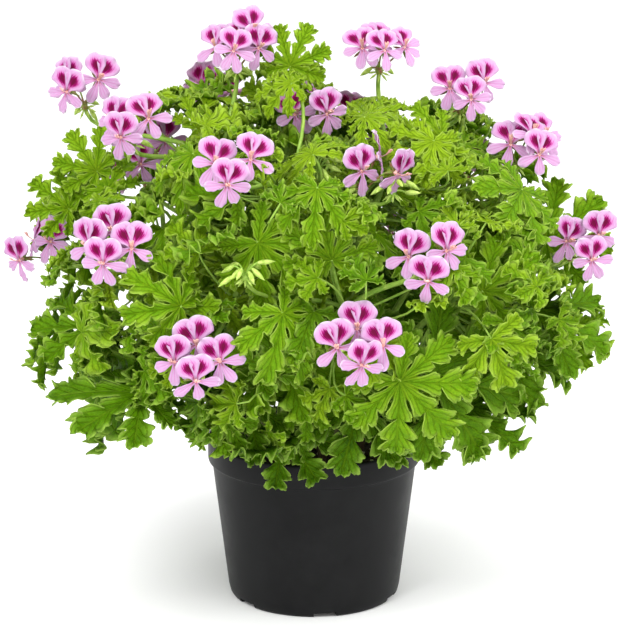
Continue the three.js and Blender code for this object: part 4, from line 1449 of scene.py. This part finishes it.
# ---------------------------------------------------------------- flower heads
# The knob at the top of each flower stalk carries narrow drooping bracts, the thin rusty
# stalks of its flowers, and a few buds that are still closed.

pedicel_finish = grainy_finish(
    "pedicel_rust", 260, 4, [(0.35, STALK_GREEN), (0.6, SEPAL_RUST)], 0.6)

# How large a head's flowers are, beside a full-grown one. They vary by up to SIZE_CHANCE more.
FLOWER_SIZE = {"top_right": 0.84, "crown_right": 0.86, "top_left": 0.88, "far_right": 0.88}
USUAL_SIZE, SIZE_CHANCE = 0.93, 0.08
# Radii along a flower's own stalk, from the flower, and along the knob with their places.
PEDICEL_RADII = [1.0, 0.8, 0.6, 0.55, 0.55, 0.55, 0.6, 0.65]
KNOB_SHAPE = [(-4.4, 1.4), (-3, 2.3), (-1.2, 2.3), (0.4, 1.2)]
PEDICEL_START = 2.4
CLOSED_BUDS, BRACTS = 4, 7
bract = spindle("bract", 6.5, 0.9, 5, 1, bud_finish)
for k, head in enumerate(heads):
    draw = seeded_random(2600 + k)
    base, axis = head["base"], head["axis"]
    facing, _, across, over, _ = head["axes"]
    parts, rays = [], []
    for n, flower in enumerate(head["flowers"]):
        model = flower_models[(k + n) % len(flower_models)]
        size = FLOWER_SIZE.get(head["name"], USUAL_SIZE) + SIZE_CHANCE * draw()
        parts.append(placed_flower(model, flower, size))
        behind = flower["joint"] - flower["face"] * PEDICEL_BEHIND
        start = flower["joint"] - flower["face"] * PEDICEL_START
        ray = bezier([start, behind, base - axis * KNOB["height"] / 2], len(PEDICEL_RADII) - 1)
        rays.append((ray, PEDICEL_RADII))
    for n in range(CLOSED_BUDS):
        turn = 2 * math.pi * (n + draw()) / CLOSED_BUDS
        around = across * math.cos(turn) + over * math.sin(turn)
        out = unit(axis * 0.2 + around * 0.8 - facing * 1.0)
        tip = base + out * (4 + 3 * draw())
        rays.append((bezier([base, mix(base, tip, 0.6) + axis * 1.5, tip], 4), [0.5] * 5))
        parts.append(scaled(turned(bud, unit(out - UP * 0.7), UP, tip), MM))
    for n in range(BRACTS):
        turn = 2 * math.pi * n / BRACTS
        out = across * math.cos(turn) + over * math.sin(turn)
        leaflet = turned(bract, unit(out - axis * 0.5), axis, base - axis * 3 + out * 1.5)
        parts.append(scaled(leaflet, MM))
    places, radii = zip(*KNOB_SHAPE)
    knob = ([base + axis * at for at in places], radii)
    umbel = rods(f"umbel_rays_{head['name']}", rays + [knob])
    umbel.data.materials.append(pedicel_finish)
    choose(*parts, umbel)
    bpy.ops.object.join()
    petals = bpy.context.object
    petals.name = f"umbel_{head['name']}"
    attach(petals, "root")
    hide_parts(f"flower_head_{head['name']}")


# ---------------------------------------------------------------- bud clusters
# Three umbels are still in bud: yellow-green pointed buds that nod on short stalks, over a
# ring of bracts, on slender stalks of their own.

CLUSTER = {"buds": 10, "bracts": 8, "site": 2}
CLUSTER_STALK_RADII = [1.4] * 6 + [1.2] * 5


def ring_direction(place, count):
    """The level direction of a place, counted from 0, in a ring of so many."""
    turn = 2 * math.pi * place / count
    return np.array((math.cos(turn), math.sin(turn), 0))


for k, place in enumerate(BUD_CLUSTERS):
    draw = seeded_random(3300 + k)
    top = np.array(place, float)
    _, _, at = sites_near(top)[CLUSTER["site"]]
    rise = unit(UP + direction(0, 0) * 0.2)
    stalk = bezier([at, at + UP * 20, top - rise * 25, top], len(CLUSTER_STALK_RADII) - 1)
    rays, green = [(stalk, CLUSTER_STALK_RADII)], []
    for n in range(CLUSTER["buds"]):
        level = ring_direction(n + 0.6 * draw(), CLUSTER["buds"])
        out = unit(level + UP * 1.4 * draw())
        tip = top + out * (6 + 5 * draw())
        rays.append((bezier([top, mix(top, tip, 0.6) + UP * 2, tip], 4), [0.55] * 5))
        nod = unit(level - UP * (0.9 * draw() - 0.1))
        green.append(scaled(turned(bud, nod, UP, tip), MM))
    for n in range(CLUSTER["bracts"]):
        level = ring_direction(n, CLUSTER["bracts"])
        leaflet = turned(bract, unit(level - UP * 0.8), UP, top - UP * 1.5 + level)
        green.append(scaled(leaflet, MM))
    rays.append(([top - UP * 4, top - UP * 2, top + UP * 0.5], [1.2, 2.2, 1.4]))
    cluster = rods(f"bud_cluster_{k + 1}", rays)
    cluster.data.materials.append(stalk_green)
    choose(cluster, *green)
    bpy.ops.object.join()
    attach(cluster, "root")
for model in [*flower_models, sepal, bud, bract]:
    bpy.data.objects.remove(model)


# ---------------------------------------------------------------- floor, light and camera
# A plain pale floor, white light from all round, and three round soft lamps: a key lamp over the
# front left, one at the right and a weak low one in front. The camera has a long lens.

FLOOR_WHITE, FLOOR_DULL = (0.97, 0.97, 0.97, 1), (0.96, 0.96, 0.96, 1)
WORLD_STRENGTH = 1.07
floor_finish = grainy_finish("studio_floor", 4, 4, [(0.3, FLOOR_DULL), (0.7, FLOOR_WHITE)], 0.8)
deselect()
bpy.ops.mesh.primitive_plane_add(size=6, location=(0, 0, 0))
floor = bpy.context.object
floor.name = "studio_floor"
floor.data.materials.append(floor_finish)

world = bpy.data.worlds.new("studio")
bpy.context.scene.world = world
world.use_nodes = True
backdrop = world.node_tree.nodes["Background"]
feed(backdrop.inputs["Color"], (1, 1, 1, 1))
feed(backdrop.inputs["Strength"], WORLD_STRENGTH)


def soft_lamp(name, place, target, size, power):
    """A round lamp this wide, in metres, with its power in watts."""
    data = bpy.data.lights.new(name, "AREA")
    data.shape = "DISK"
    data.size = size
    data.energy = power
    lamp = bpy.data.objects.new(name, data)
    bpy.context.scene.collection.objects.link(lamp)
    lamp.location = place
    lamp.rotation_euler = (Vector(target) - Vector(place)).to_track_quat("-Z", "Y").to_euler()


soft_lamp("key", (-0.8, -1.5, 1.9), (0, 0, 0.2), 1.0, 37)
soft_lamp("right", (1.1, -0.5, 1.6), (0, 0, 0.2), 1.8, 23)
soft_lamp("low_fill", (0.3, -2.0, 0.4), (0, 0, 0.1), 1.2, 7)

CAMERA_PLACE = (0.0024, -1.608, 0.601)
CAMERA_PITCH = 14.96
LENS = 153.9
SENSOR = 36
camera_data = bpy.data.cameras.new("camera")
camera_data.sensor_fit = "VERTICAL"
camera_data.sensor_height = SENSOR
camera_data.lens = LENS
camera_data.clip_end = 20
camera = bpy.data.objects.new("camera", camera_data)
bpy.context.scene.collection.objects.link(camera)
camera.location = CAMERA_PLACE
camera.rotation_euler = (math.radians(90 - CAMERA_PITCH), 0, 0)
bpy.context.scene.camera = camera
bpy.context.scene.view_settings.view_transform = "Standard"
